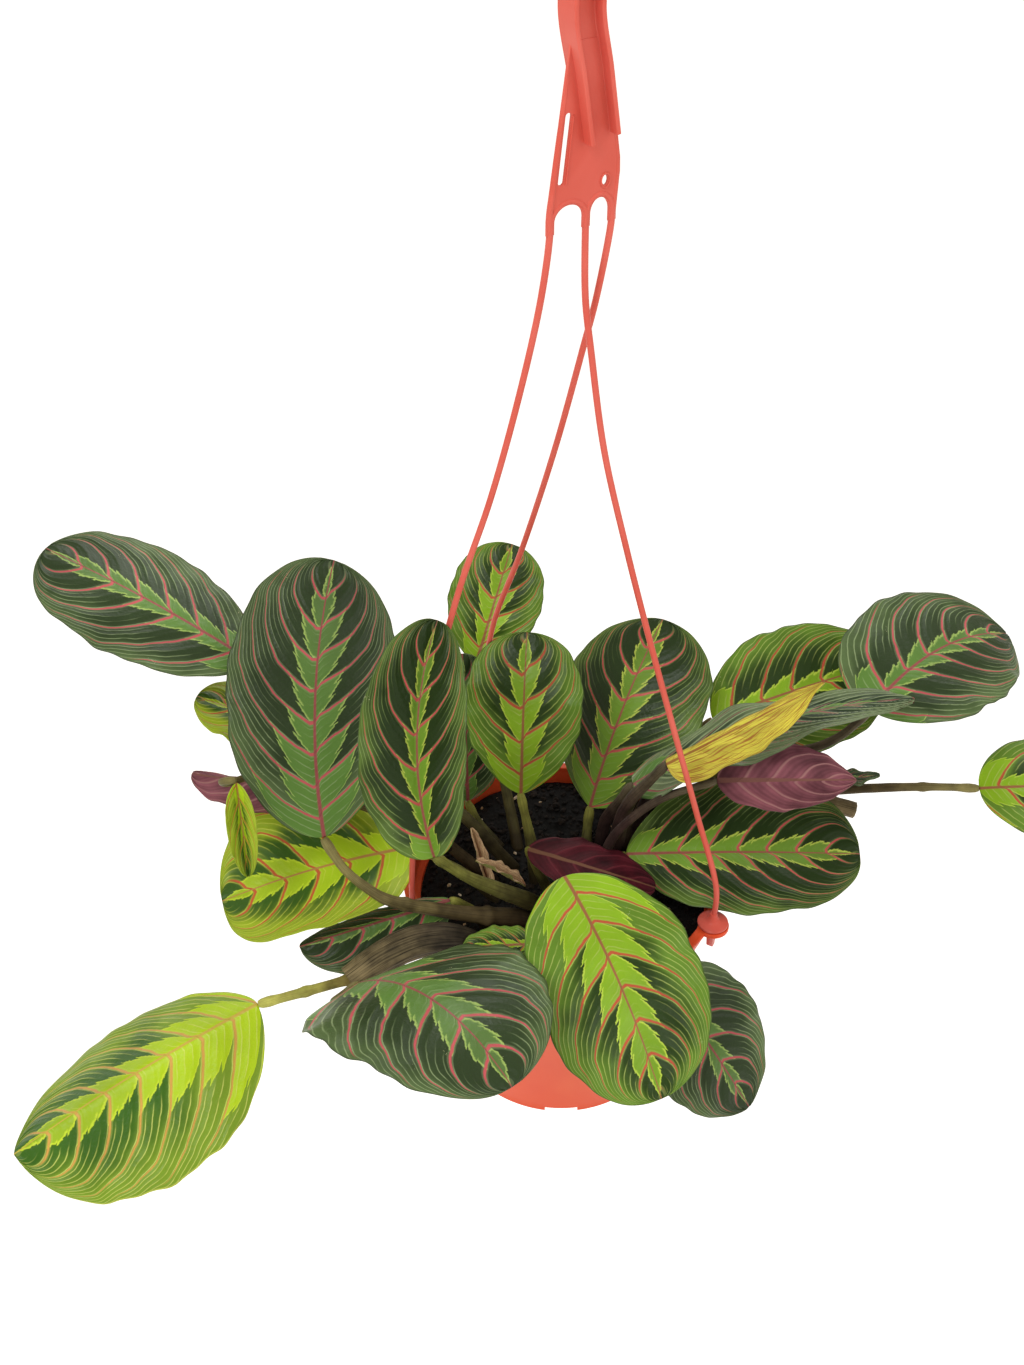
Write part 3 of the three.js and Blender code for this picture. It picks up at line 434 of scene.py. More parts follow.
@dataclass(frozen=True)
class StalkFinish:
    """Living stalk or sheath tissue: fine lengthwise ribs, darker and browner at the foot.

    Its colour runs from foot through shaft to end, and the streak colour lies in the grooves between ribs, partly the
    tissue's own dark streaks and partly painted shade in the grooves.
    """

    name: str
    foot: str
    shaft: str
    end: str
    streak_and_groove_shade: str
    ribs: float = 16.0
    streak_and_groove_shade_weight: float = 0.55
    roughness: float = 0.52

    def material(self) -> bpy.types.Material:
        """Builds the skin from the stalk's own length and turn coordinates.

        Returns:
            The material.
        """
        material, tree = fresh_material(self.name)
        shaft = add(tree, "UVMap", uv_map="shaft")
        place = add(tree, "TexCoord").outputs["Object"]
        length = add(tree, "SeparateXYZ", {0: shaft})
        cloud = add(tree, "TexNoise", {"Vector": place, "Scale": 110.0, "Detail": 3.0})
        stretched = add(tree, "Mapping", {"Vector": shaft, "Scale": (3.0, self.ribs, 1.0)})
        fibre = add(tree, "TexNoise", {"Vector": stretched, "Scale": 1.6, "Detail": 3.0})
        drift = add(tree, "MapRange", {0: cloud, 3: -0.14, 4: 0.14})
        up = add(tree, "Math", {0: length, 1: drift}, operation="ADD")
        ramp = add(tree, "ValToRGB", {0: up})
        elements = ramp.color_ramp.elements
        elements[0].color, elements[0].position = linear(self.foot), 0.08
        elements[1].color, elements[1].position = linear(self.end), 0.96
        elements.new(0.5).color = linear(self.shaft)
        # The streak colour follows the fibres: the tissue's own streaks and painted shade in the grooves between
        # ribs.
        lines = add(tree, "MapRange", {0: fibre, 1: 0.45, 2: 0.68, 4: self.streak_and_groove_shade_weight})
        skin = add(tree, "Mix", {0: lines, 6: ramp, 7: linear(self.streak_and_groove_shade)}, **COLOUR)
        # Patches of about 9 mm are paler or darker.
        pale_dark_patches = add(tree, "MapRange", {0: cloud, 1: 0.3, 2: 0.7, 3: 0.66, 4: 1.38})
        skin = add(tree, "HueSaturation", {"Value": pale_dark_patches, "Color": skin})
        gloss = add(tree, "MapRange", {0: fibre, 3: self.roughness - 0.1, 4: self.roughness + 0.12})
        bump = add(tree, "Bump", {"Height": fibre, "Strength": 0.5, "Distance": 0.0004})
        shader = add(tree, "BsdfPrincipled", {"Base Color": skin, "Roughness": gloss, "Normal": bump,
                                              "IOR": PLANT_IOR, "Specular IOR Level": 0.14})
        add(tree, "OutputMaterial", {"Surface": shader})
        return material


@dataclass(frozen=True)
class MouldedPlastic:
    """Injection-moulded polypropylene: even colour, faint swirl, soft satin shine from the mould."""

    name: str
    colour: str
    thin: str
    roughness: float = 0.38

    def material(self) -> bpy.types.Material:
        """Builds the plastic with faint flow marks and a fine mould texture.

        Returns:
            The material.
        """
        material, tree = fresh_material(self.name)
        place = add(tree, "TexCoord").outputs["Object"]
        # Flow marks are about 40 mm long. The mould's texture is about 0.7 mm.
        swirl = add(tree, "TexNoise", {"Vector": place, "Scale": 26.0, "Detail": 3.0, "Distortion": 0.8})
        grain = add(tree, "TexNoise", {"Vector": place, "Scale": 1400.0, "Detail": 1.0})
        flow = add(tree, "MapRange", {0: swirl, 1: 0.35, 2: 0.7})
        skin = add(tree, "Mix", {0: flow, 6: linear(self.colour), 7: linear(self.thin)}, **COLOUR)
        gloss = add(tree, "MapRange", {0: swirl, 3: self.roughness - 0.06, 4: self.roughness + 0.08})
        bump = add(tree, "Bump", {"Height": grain, "Strength": 0.12, "Distance": 0.0002})
        # A little light passes through the thin walls.
        shader = add(tree, "BsdfPrincipled", {
            "Base Color": skin, "Roughness": gloss, "Normal": bump, "IOR": POLYPROPYLENE_IOR,
            "Specular IOR Level": 0.14, "Subsurface Weight": 0.06, "Subsurface Radius": (0.003, 0.001, 0.0007)})
        add(tree, "OutputMaterial", {"Surface": shader})
        return material


@dataclass(frozen=True)
class CrumbFinish:
    """Loose peat, bark or perlite: rough broken surface with mixed light and dark crumbs."""

    name: str
    dark: str
    light: str
    grain_mm: float
    roughness: float = 0.92

    def material(self) -> bpy.types.Material:
        """Builds the crumbly surface; the noise scale follows the grain size.

        Returns:
            The material.
        """
        material, tree = fresh_material(self.name)
        place = add(tree, "TexCoord").outputs["Object"]
        scale = 1000.0 / self.grain_mm
        crumb = add(tree, "TexVoronoi", {"Vector": place, "Scale": scale})
        dust = add(tree, "TexNoise", {"Vector": place, "Scale": scale * 0.4, "Detail": 4.0})
        mixed = add(tree, "MapRange", {0: dust, 1: 0.42, 2: 0.72})
        skin = add(tree, "Mix", {0: mixed, 6: linear(self.dark), 7: linear(self.light)}, **COLOUR)
        gloss = add(tree, "MapRange", {0: dust, 3: self.roughness - 0.15, 4: 1.0})
        bump = add(tree, "Bump", {"Height": crumb, "Strength": 0.7, "Distance": 0.0009})
        shader = add(tree, "BsdfPrincipled", {"Base Color": skin, "Roughness": gloss, "Normal": bump,
                                              "Specular IOR Level": 0.25})
        add(tree, "OutputMaterial", {"Surface": shader})
        return material


@dataclass(frozen=True)
class StudioPaint:
    """Matt white studio sweep."""

    name: str
    colour: str
    glow: float

    def material(self) -> bpy.types.Material:
        """Builds the matt paint with a very faint roller texture.

        Returns:
            The material.
        """
        material, tree = fresh_material(self.name)
        place = add(tree, "TexCoord").outputs["Object"]
        roller = add(tree, "TexNoise", {"Vector": place, "Scale": 3.0, "Detail": 2.0})
        gloss = add(tree, "MapRange", {0: roller, 3: 0.88, 4: 0.98})
        shader = add(tree, "BsdfPrincipled", {
            "Base Color": linear(self.colour), "Roughness": gloss, "Emission Color": linear(self.colour),
            "Emission Strength": self.glow})
        add(tree, "OutputMaterial", {"Surface": shader})
        return material


SCAR = "#d9d9a8"
# Mature leaf skin: waxy and very dark green, greyer to the margin, so the red veins stand out.
DARK_LEAF = LeafFinish("leaf skin, mature", deep="#2a391f", pale="#50633c", stripe="#95a77a", band="#577a36",
                       band_edge="#92ab5a", vein="#b54f56", midrib="#8c4a48", margin="#3a462e",
                       fade_from=0.52, fade_to=1.15, young=0.45, specks=0.7)
# Newly mature leaf skin: as dark as the mature one, with a brighter yellow-green band.
BRIGHT_LEAF = LeafFinish("leaf skin, newly mature", deep="#253617", pale="#597230", stripe="#8fa562",
                         band="#709630", band_edge="#b2c252", vein="#c05252", midrib="#96564a", margin="#42542c",
                         fade_from=0.58, fade_to=1.18, young=0.5, specks=0.9)
# Leaf skin seen along its pleats: dull grey-green, with the light lines close together.
RIDGED_LEAF = LeafFinish("leaf skin, pleated", deep="#2c3c28", pale="#6c7c58", stripe="#a9b68c", band="#557a38",
                         band_edge="#7c9a52", vein="#a2525c", midrib="#8b5450", margin="#5a6a4c",
                         fade_from=0.3, fade_to=1.0, young=0.5, comb=0.5)
# Half-grown leaf skin: fresh green that pales well inside the margin, with orange-red veins.
FRESH_LEAF = LeafFinish("leaf skin, half grown", deep="#273c12", pale="#5f8228", stripe="#b6c26c", band="#86ae22",
                        band_edge="#b4cc48", vein="#b84e38", midrib="#94623e", margin="#43552a",
                        fade_from=0.37, fade_to=0.93, young=0.9, specks=0.7)
# Young leaf skin: thin and yellow-green, with dark patches only beside the band.
LIME_LEAF = LeafFinish("leaf skin, young", deep="#3c5e1e", pale="#96ad28", stripe="#d0d45a", band="#a6c622",
                       band_edge="#bcd434", vein="#bf5836", midrib="#b08446", margin="#9dac3a",
                       fade_from=0.3, fade_to=0.78, young=0.8)
# Young leaf skin in full light: the same, with straw-coloured veins and more hair lines.
PALE_LIME_LEAF = LeafFinish("leaf skin, young in full light", deep="#3b661b", pale="#7b9a2b", stripe="#d6dc74",
                            band="#b0d01c", band_edge="#c6dc34", vein="#d3a050", midrib="#c6ae4c",
                            margin="#c8d058", fade_from=0.3, fade_to=0.95, young=1.2, hair=0.7)
# Withering leaf skin: dull yellow with brown streaks where the tissue has died.
YELLOW_LEAF = LeafFinish("leaf skin, withering", deep="#b3a83a", pale="#d6cb46", stripe="#a8893a", band="#d2ca4a",
                         band_edge="#cfc444", vein="#955a28", midrib="#9c6f34", margin="#9c7c38",
                         fade_from=0.2, fade_to=0.9, streaks=0.9, vein_weight=0.12, roughness=0.6)
# Dried bract, paper-thin: matt tan with darker fibres along it.
PAPER_BRACT = LeafFinish("dry bract", deep="#a98a63", pale="#dcbc92", stripe="#8d6c4c", band="#ae8460",
                         band_edge="#9a7052", vein="#6e4436", midrib="#8a6248", margin="#cdb08e",
                         fade_from=0.1, fade_to=0.9, streaks=0.7, vein_weight=0.15, roughness=0.75)
# Leaf undersides: downy, so they look matt, and wine red, dusty pink or pale green by age.
WINE_BACK = LeafBackFinish("leaf underside", skin="#4e1721", shade="#2a0a11", vein="#62252e", midrib="#6d4a38")
PINK_BACK = LeafBackFinish("leaf underside, thin", skin="#86505a", shade="#5a343b", vein="#a67876",
                           midrib="#7d544c")
PALE_BACK = LeafBackFinish("leaf underside, young", skin="#a2a766", shade="#8a9450", vein="#b58d62",
                           midrib="#a9a05e")
# Stalk skin: smooth over fine ribs, brown in the mix and greener towards the blade.
GREEN_STALK = StalkFinish("petiole, green", foot="#37301f", shaft="#5f5d33", end="#87883f", streak_and_groove_shade="#2f2419")
BROWN_STALK = StalkFinish("petiole, bronzed", foot="#30261d", shaft="#5c5033", end="#80784a", streak_and_groove_shade="#251a14")
YOUNG_STALK = StalkFinish("petiole, young", foot="#6d5c34", shaft="#98984a", end="#b4b55c", streak_and_groove_shade="#755c34")
PURPLE_STALK = StalkFinish("petiole, purple", foot="#2a1f1e", shaft="#40302c", end="#5f5642", streak_and_groove_shade="#211818")
# Drying sheath: dull brown, its grooves between the ribs darkened by its own dark streaks and by painted shade.
SHEATH_SKIN = StalkFinish("leaf sheath, drying", foot="#26211a", shaft="#40382c", end="#75684a", streak_and_groove_shade="#0e0b09",
                          ribs=20.0, streak_and_groove_shade_weight=0.85, roughness=0.62)
# Polypropylene, injection moulded: warm even orange with a low satin shine. The hanger's is paler.
POT_PLASTIC = MouldedPlastic("polypropylene, terracotta", colour="#e0512a", thin="#e45d35")
HANGER_PLASTIC = MouldedPlastic("polypropylene, hanger", colour="#cf594b", thin="#d9685b", roughness=0.34)
# Peat mix, loose: nearly black and without shine, with browner bark and a few pale chips.
PEAT = CrumbFinish("peat mix", dark="#060605", light="#15120f", grain_mm=2.2)
BARK = CrumbFinish("bark crumbs", dark="#0c0907", light="#2b2119", grain_mm=1.4)
CHIP = CrumbFinish("perlite and wood chips", dark="#a58a68", light="#e2d6bf", grain_mm=0.9)
# Studio paint, rolled: flat white that glows a little, so no edge shows.
SWEEP = StudioPaint("studio sweep", colour="#fbfbfb", glow=0.62)


class Foliage(Enum):
    """The ages of leaf on the plant, each with its upper and lower skin."""

    DARK = (DARK_LEAF, WINE_BACK, "green_leaf")
    BRIGHT = (BRIGHT_LEAF, WINE_BACK, "green_leaf")
    RIDGED = (RIDGED_LEAF, WINE_BACK, "green_leaf")
    FRESH = (FRESH_LEAF, WINE_BACK, "green_leaf")
    LIME = (LIME_LEAF, PALE_BACK, "lime_leaf")
    PALE_LIME = (PALE_LIME_LEAF, PALE_BACK, "lime_leaf")
    YELLOW = (YELLOW_LEAF, PALE_BACK, "yellow_leaf")
    WINE = (DARK_LEAF, WINE_BACK, "leaf_underside")
    PINK = (DARK_LEAF, PINK_BACK, "leaf_underside")
    BRACT = (PAPER_BRACT, PALE_BACK, "papery_bract")


Finish = LeafFinish | LeafBackFinish | StalkFinish | MouldedPlastic | CrumbFinish | StudioPaint
_made: dict[str, bpy.types.Material] = {}


def skin_of(finish: Finish) -> bpy.types.Material:
    """Returns the finish's material, built once.

    Args:
        finish: what the surface is made of.

    Returns:
        The shared material.
    """
    if finish.name not in _made:
        _made[finish.name] = finish.material()
    return _made[finish.name]


# ---------------------------------------------------------------- mesh helpers


def make_object(name: str, points: np.ndarray, faces: Iterable[Sequence[int]],
                smooth: bool = True) -> bpy.types.Object:
    """Makes a mesh object from points in millimetres in the part's frame.

    Args:
        name: the piece's name.
        points: n by 3 array.
        faces: corner lists.
        smooth: whether the faces are shaded smooth.

    Returns:
        The linked object.
    """
    mesh = bpy.data.meshes.new(name)
    mesh.from_pydata((np.asarray(points) * MM).tolist(), [], [list(f) for f in faces])
    mesh.update()
    if smooth:
        mesh.polygons.foreach_set("use_smooth", [True] * len(mesh.polygons))
    obj = bpy.data.objects.new(name, mesh)
    bpy.context.scene.collection.objects.link(obj)
    return obj


def set_uv(obj: bpy.types.Object, name: str, values: np.ndarray) -> None:
    """Writes one UV map from a value pair for each vertex.

    Args:
        obj: the mesh object.
        name: the map's name.
        values: n by 2 array.
    """
    layer = obj.data.uv_layers.new(name=name)
    corners = np.empty(len(obj.data.loops), dtype=np.int32)
    obj.data.loops.foreach_get("vertex_index", corners)
    layer.data.foreach_set("uv", values[corners].astype(np.float32).ravel())


def centre_on(points: np.ndarray, node: str) -> np.ndarray:
    """Shifts points so that their box has the same centre as the CAD node's box.

    Args:
        points: n by 3 array in millimetres.
        node: the CAD node that the piece stands for.

    Returns:
        The shifted points.
    """
    low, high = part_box(node)
    target = np.array([(a + b) / 2 / MM for a, b in zip(low, high)])
    return points + target - (points.min(0) + points.max(0)) / 2


def piece(obj: bpy.types.Object, slot: str, *nodes: str) -> None:
    """Registers a finished piece with the frame.

    Args:
        obj: the finished object.
        slot: the record's material slot; not used.
        *nodes: the CAD nodes it stands for.
    """
    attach(obj, ROOT)
    if nodes:
        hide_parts(*nodes)
    log.info("%s: %d faces", obj.name, len(obj.data.polygons))


def spline(stations: Sequence[Station], count: int) -> tuple[np.ndarray, np.ndarray]:
    """Samples a smooth centripetal curve through the stations.

    Args:
        stations: points with a radius each.
        count: number of samples, evenly spaced by length.

    Returns:
        The sample points and their radii.
    """
    knots = np.array(stations, dtype=float)
    padded = np.vstack([2 * knots[0] - knots[1], knots, 2 * knots[-1] - knots[-2]])
    dense = []
    for i in range(1, len(padded) - 2):
        p0, p1, p2, p3 = padded[i - 1:i + 3]
        t1 = max(np.linalg.norm((p1 - p0)[:3]), 1e-6) ** 0.5
        t2 = t1 + max(np.linalg.norm((p2 - p1)[:3]), 1e-6) ** 0.5
        t3 = t2 + max(np.linalg.norm((p3 - p2)[:3]), 1e-6) ** 0.5
        for t in np.linspace(t1, t2, CURVE_STEPS, endpoint=False):
            a1 = (t1 - t) / t1 * p0 + t / t1 * p1
            a2 = (t2 - t) / (t2 - t1) * p1 + (t - t1) / (t2 - t1) * p2
            a3 = (t3 - t) / (t3 - t2) * p2 + (t - t2) / (t3 - t2) * p3
            b1 = (t2 - t) / t2 * a1 + t / t2 * a2
            b2 = (t3 - t) / (t3 - t1) * a2 + (t - t1) / (t3 - t1) * a3
            dense.append((t2 - t) / (t2 - t1) * b1 + (t - t1) / (t2 - t1) * b2)
    dense.append(knots[-1])
    dense = np.array(dense)
    steps = np.linalg.norm(np.diff(dense[:, :3], axis=0), axis=1)
    length = np.concatenate([[0], np.cumsum(steps)])
    at = np.linspace(0, length[-1], count)
    samples = np.stack([np.interp(at, length, dense[:, k]) for k in range(4)], axis=1)
    return samples[:, :3], samples[:, 3]


def swept_rings(path: np.ndarray) -> tuple[np.ndarray, np.ndarray]:
    """Carries a pair of crossing directions along a path without twisting.

    Args:
        path: n by 3 points.

    Returns:
        Two n by 3 arrays of unit vectors across the path.
    """
    tangents = np.gradient(path, axis=0)
    tangents /= np.linalg.norm(tangents, axis=1, keepdims=True)
    start = np.array([0.0, 0.0, 1.0]) if abs(tangents[0][2]) < 0.8 else np.array([0.0, 1.0, 0.0])
    normals = []
    for tangent in tangents:
        start = start - tangent * (start @ tangent)
        start = start / np.linalg.norm(start)
        normals.append(start)
    normals = np.array(normals)
    return normals, np.cross(tangents, normals)


def ring_faces(rings: int, sides: int, first: int = 0) -> list[Face]:
    """Faces of a closed tube with flat ends, for rings of points in order.

    Args:
        rings: number of rings.
        sides: points in each ring.
        first: index of the first point.

    Returns:
        Corner lists.
    """
    faces: list[Face] = []
    for i in range(rings - 1):
        for j in range(sides):
            a, b = first + i * sides + j, first + i * sides + (j + 1) % sides
            faces.append((a, b, b + sides, a + sides))
    faces.append(tuple(first + j for j in reversed(range(sides))))
    faces.append(tuple(first + (rings - 1) * sides + j for j in range(sides)))
    return faces


# ---------------------------------------------------------------- leaf blades


def blade_faces(rows: int, columns: int) -> tuple[list[Face], int, int]:
    """Faces of a thin sheet whose upper and lower skins meet at its margins and both its ends.

    Its points are the upper grid, then the lower grid, then the stalk's end and the tip.

    Args:
        rows: steps along the sheet.
        columns: steps across it.

    Returns:
        Corner lists, the first of the lower skin's faces and the first after them.
    """
    wide = columns + 1
    count = (rows - 1) * wide
    stalk_end, tip, last = 2 * count, 2 * count + 1, (rows - 2) * wide
    faces: list[Face] = []
    for r in range(rows - 2):
        for c in range(columns):
            a = r * wide + c
            faces.append((a, a + wide, a + wide + 1, a + 1))
    for c in range(columns):
        faces.append((stalk_end, c, c + 1))
        faces.append((tip, last + c + 1, last + c))
    upper = len(faces)
    faces += [tuple(f + count if f < count else f for f in reversed(face)) for face in faces]
    lower = len(faces)
    for r in range(rows - 2):
        a, b = r * wide, r * wide + columns
        faces.append((a, a + count, a + wide + count, a + wide))
        faces.append((b, b + wide, b + wide + count, b + count))
    faces += [(stalk_end, count, 0), (stalk_end, columns, columns + count)]
    faces += [(tip, last, last + count), (tip, last + columns + count, last + columns)]
    return faces, upper, lower


@dataclass
class Leaf:
    """One blade, with the size and attitude of its CAD node.

    The base is where the stalk meets the blade; heading is the midrib's compass turn from +X,
    pitch its climb and roll lifts the left half. A blade bends down along its midrib, turns left by
    swerve, and each half leaves the midrib tilted up by fold and rolls up by a further curl.
    Broad sets how near the tip the blade is widest, point how sharply it tapers, and halves
    narrows the left or right half.
    """

    LONG_BLADE = 70.0  # a longer blade gets the fine grid
    FINE_GRID = (84, 44)
    PLAIN_GRID = (56, 28)
    MIDRIB_STEPS = 240

    name: str
    base: Point
    heading: float
    pitch: float
    length: float
    width: float
    foliage: Foliage
    roll: float = 0.0
    bend: float = 15.0
    swerve: float = 0.0
    fold: tuple[float, float] = (0.0, 0.0)
    curl: tuple[float, float] = (0.0, 0.0)
    halves: tuple[float, float] = (1.0, 1.0)
    wave: float = 0.0
    broad: float = 1.1
    point: float = 0.5
    tone: float = 1.0
    band: float = 0.27
    foot: float = 0.1
    ripple: float = 0.85
    thickness: float = 0.45
    vein_gap: float = 14.5
    pleat: float = 0.4
    _seed: float = field(init=False, default=0.0)

    def __post_init__(self) -> None:
        """Gives each blade its own steady variation."""
        self._seed = sum(ord(c) for c in self.name) % 97 / 9.7

    def half_width(self, s: np.ndarray) -> np.ndarray:
        """Half the blade's width along the midrib, as a share of the full width.

        Args:
            s: places along the midrib, 0 at the stalk and 1 at the tip.

        Returns:
            The shares.
        """
        safe = np.clip(s, 1e-9, 1 - 1e-9)
        oblong = np.sqrt(np.maximum(0, 1 - np.abs(1 - 2 * safe ** self.broad) ** 2.3)) / 2
        wedge = 1.05 * (1 - safe) ** self.point
        share = oblong * wedge / (oblong ** 4 + wedge ** 4) ** 0.25
        return np.where((s <= 0) | (s >= 1), 0.0, share)

    def surface(self, s: np.ndarray, t: np.ndarray) -> np.ndarray:
        """Middle surface of the blade in its own axes.

        Args:
            s: places along the midrib.
            t: places across, from -1 at the right margin to 1 at the left.

        Returns:
            Points with a last axis of 3.
        """
        fine = np.linspace(0, 1, self.MIDRIB_STEPS + 1)
        middle = (fine[1:] + fine[:-1]) / 2
        down, side = np.radians(self.bend * middle), np.radians(self.swerve * middle)
        step = self.length / self.MIDRIB_STEPS
        x = np.concatenate([[0], np.cumsum(step * np.cos(down) * np.cos(side))])
        y = np.concatenate([[0], np.cumsum(step * np.cos(down) * np.sin(side))])
        z = np.concatenate([[0], np.cumsum(-step * np.sin(down))])
        centre = np.stack([np.interp(s, fine, k) for k in (x, y, z)], axis=-1)
        down, side = np.radians(self.bend * s), np.radians(self.swerve * s)
        across = np.stack([-np.sin(side), np.cos(side), np.zeros_like(side)], axis=-1)
        up = np.stack([np.sin(down) * np.cos(side), np.sin(down) * np.sin(side), np.cos(down)], axis=-1)
        # The margins are a little uneven, and no two blades alike.
        left = t >= 0
        hand = np.sign(t)
        uneven = 1 + 0.013 * np.sin(2 * np.pi * (3.7 * s + self._seed + 0.2 * hand))
        uneven = uneven + 0.008 * np.sin(2 * np.pi * (8.3 * s + 2.3 * self._seed + 0.4 * hand))
        width = np.abs(t) * self.width * np.where(left, *self.halves) * self.half_width(s) * uneven
        # Each half is an arc that leaves the midrib at its fold.
        fold = np.radians(np.where(left, self.fold[0], self.fold[1]))
        curl = np.radians(np.where(left, self.curl[0], self.curl[1])) / (self.width / 2)
        bent = np.abs(curl) > 1e-6
        safe = np.where(bent, curl, 1.0)
        out = np.where(bent, (np.sin(fold + curl * width) - np.sin(fold)) / safe, width * np.cos(fold))
        rise = np.where(bent, (np.cos(fold) - np.cos(fold + curl * width)) / safe, width * np.sin(fold))
        edge = np.abs(t) ** 3 * np.minimum(1, 6 * s * (1 - s))
        swell = self.ripple * np.sin(2 * np.pi * (2.9 * s + self._seed + 0.3 * hand))
        swell = swell + 0.5 * self.ripple * np.sin(2 * np.pi * (6.1 * s + 1.7 * self._seed - 0.2 * hand))
        wave = self.wave * t * t * np.sin(2 * np.pi * (2.2 * s + 0.35 * hand)) + edge * swell
        relief = self.relief(s, t, width)
        return centre + across * (hand * out)[..., None] + up * (rise + wave + relief)[..., None]

    def vein_count(self) -> float:
        """Side veins along the blade."""
        return max(5.0, round(self.length / self.vein_gap))

    def vein_place(self, s: np.ndarray, t: np.ndarray) -> np.ndarray:
        """Which vein a point lies at; a vein runs where this is a whole number and a half.

        Args:
            s: places along the midrib.
            t: places across.

        Returns:
            The vein coordinate.
        """
        out, place = np.abs(t), np.maximum(s, 0)
        lean = 0.2 * out * np.minimum(1, place / 0.35) ** 0.6 + 0.29 * out ** 3 * np.minimum(1, place / 0.8)
        return self.vein_count() * (s - lean) + 0.5 + 0.13 * np.sign(t) + 0.03 * self._seed

    def relief(self, s: np.ndarray, t: np.ndarray, width: np.ndarray) -> np.ndarray:
        """Quilting between the veins and the groove along the midrib.

        Args:
            s: places along the midrib.
            t: places across.
            width: distances from the midrib in millimetres.

        Returns:
            Heights above the middle surface in millimetres.
        """
        place = self.vein_place(s, t)
        quilt = self.pleat * np.cos(2 * np.pi * place) * np.sin(np.pi * np.clip(np.abs(t), 0, 1)) ** 0.7
        groove = -0.5 * np.exp(-(width / 1.6) ** 2) * np.minimum(1, 8 * (1 - s))
        return (quilt + groove) * np.minimum(1, 5 * s)

    def band_width(self, s: np.ndarray) -> np.ndarray:
        """Half the light band's width, as a share of the blade's half width."""
        foot = np.exp(-(s / self.foot) ** 2) * 0.9
        return foot + self.band * (1.15 - 0.6 * s) * np.minimum(1, 6 * (1 - s))

    def build(self) -> bpy.types.Object:
        """Builds, dresses and registers the blade.

        Returns:
            The blade.
        """
        rows, columns = self.FINE_GRID if self.length > self.LONG_BLADE else self.PLAIN_GRID
        # Rows crowd towards the tip, and columns towards the margins.
        i = np.arange(1, rows) / rows
        s = 0.35 * i + 0.65 * (1 - np.cos(np.pi * i)) / 2
        t = np.linspace(-1, 1, columns + 1)
        t = np.sign(t) * np.abs(t) ** 0.9
        grid_s, grid_t = np.meshgrid(s, t, indexing="ij")
        step = 1e-3
        along = self.surface(grid_s + step, grid_t) - self.surface(grid_s - step, grid_t)
        span = np.clip(grid_t, -1 + step, 1 - step)
        beside = self.surface(grid_s, span + step) - self.surface(grid_s, span - step)
        normal = np.cross(along, beside)
        normal /= np.maximum(np.linalg.norm(normal, axis=-1, keepdims=True), 1e-12)
        middle = self.surface(grid_s, grid_t)
        thin = 0.5 * self.thickness * (1 - 0.6 * np.abs(grid_t) ** 6)[..., None]
        ends = self.surface(np.array([0.0, 1.0]), np.array([0.0, 0.0]))
        top = (middle + normal * thin).reshape(-1, 3)
        low = (middle - normal * thin).reshape(-1, 3)
        points = np.vstack([top, low, ends])
        turn = (Matrix.Rotation(math.radians(self.heading), 3, "Z")
                @ Matrix.Rotation(math.radians(-self.pitch), 3, "Y")
                @ Matrix.Rotation(math.radians(self.roll), 3, "X"))
        points = points @ np.array(turn).T + np.array(self.base) + np.array([0, 0, RIM_Z])
        points = centre_on(points, self.name)
        faces, upper, lower = blade_faces(rows, columns)
        obj = make_object(self.name.replace("leaf_", "blade_"), points, faces)
        flat_s = np.concatenate([grid_s.ravel(), grid_s.ravel(), [0, 1]])
        flat_t = np.concatenate([grid_t.ravel(), grid_t.ravel(), [0, 0]])
        half = self.width * np.where(flat_t >= 0, *self.halves)
        distance = np.abs(flat_t) * half * self.half_width(flat_s) / np.clip(1.25 - flat_s, 0.35, 1.2)
        set_uv(obj, "veins", np.stack([self.vein_place(flat_s, flat_t), flat_t], axis=1))
        set_uv(obj, "blade", np.stack([flat_s, self.band_width(flat_s)], axis=1))
        set_uv(obj, "tone", np.stack([np.full_like(flat_s, self.tone), distance], axis=1))
        front, back, slot = self.foliage.value
        obj.data.materials.append(skin_of(front))
        obj.data.materials.append(skin_of(back))
        index = np.zeros(len(obj.data.polygons), dtype=np.int32)
        index[upper:lower] = 1
        obj.data.polygons.foreach_set("material_index", index)
        piece(obj, slot, self.name)
        return obj


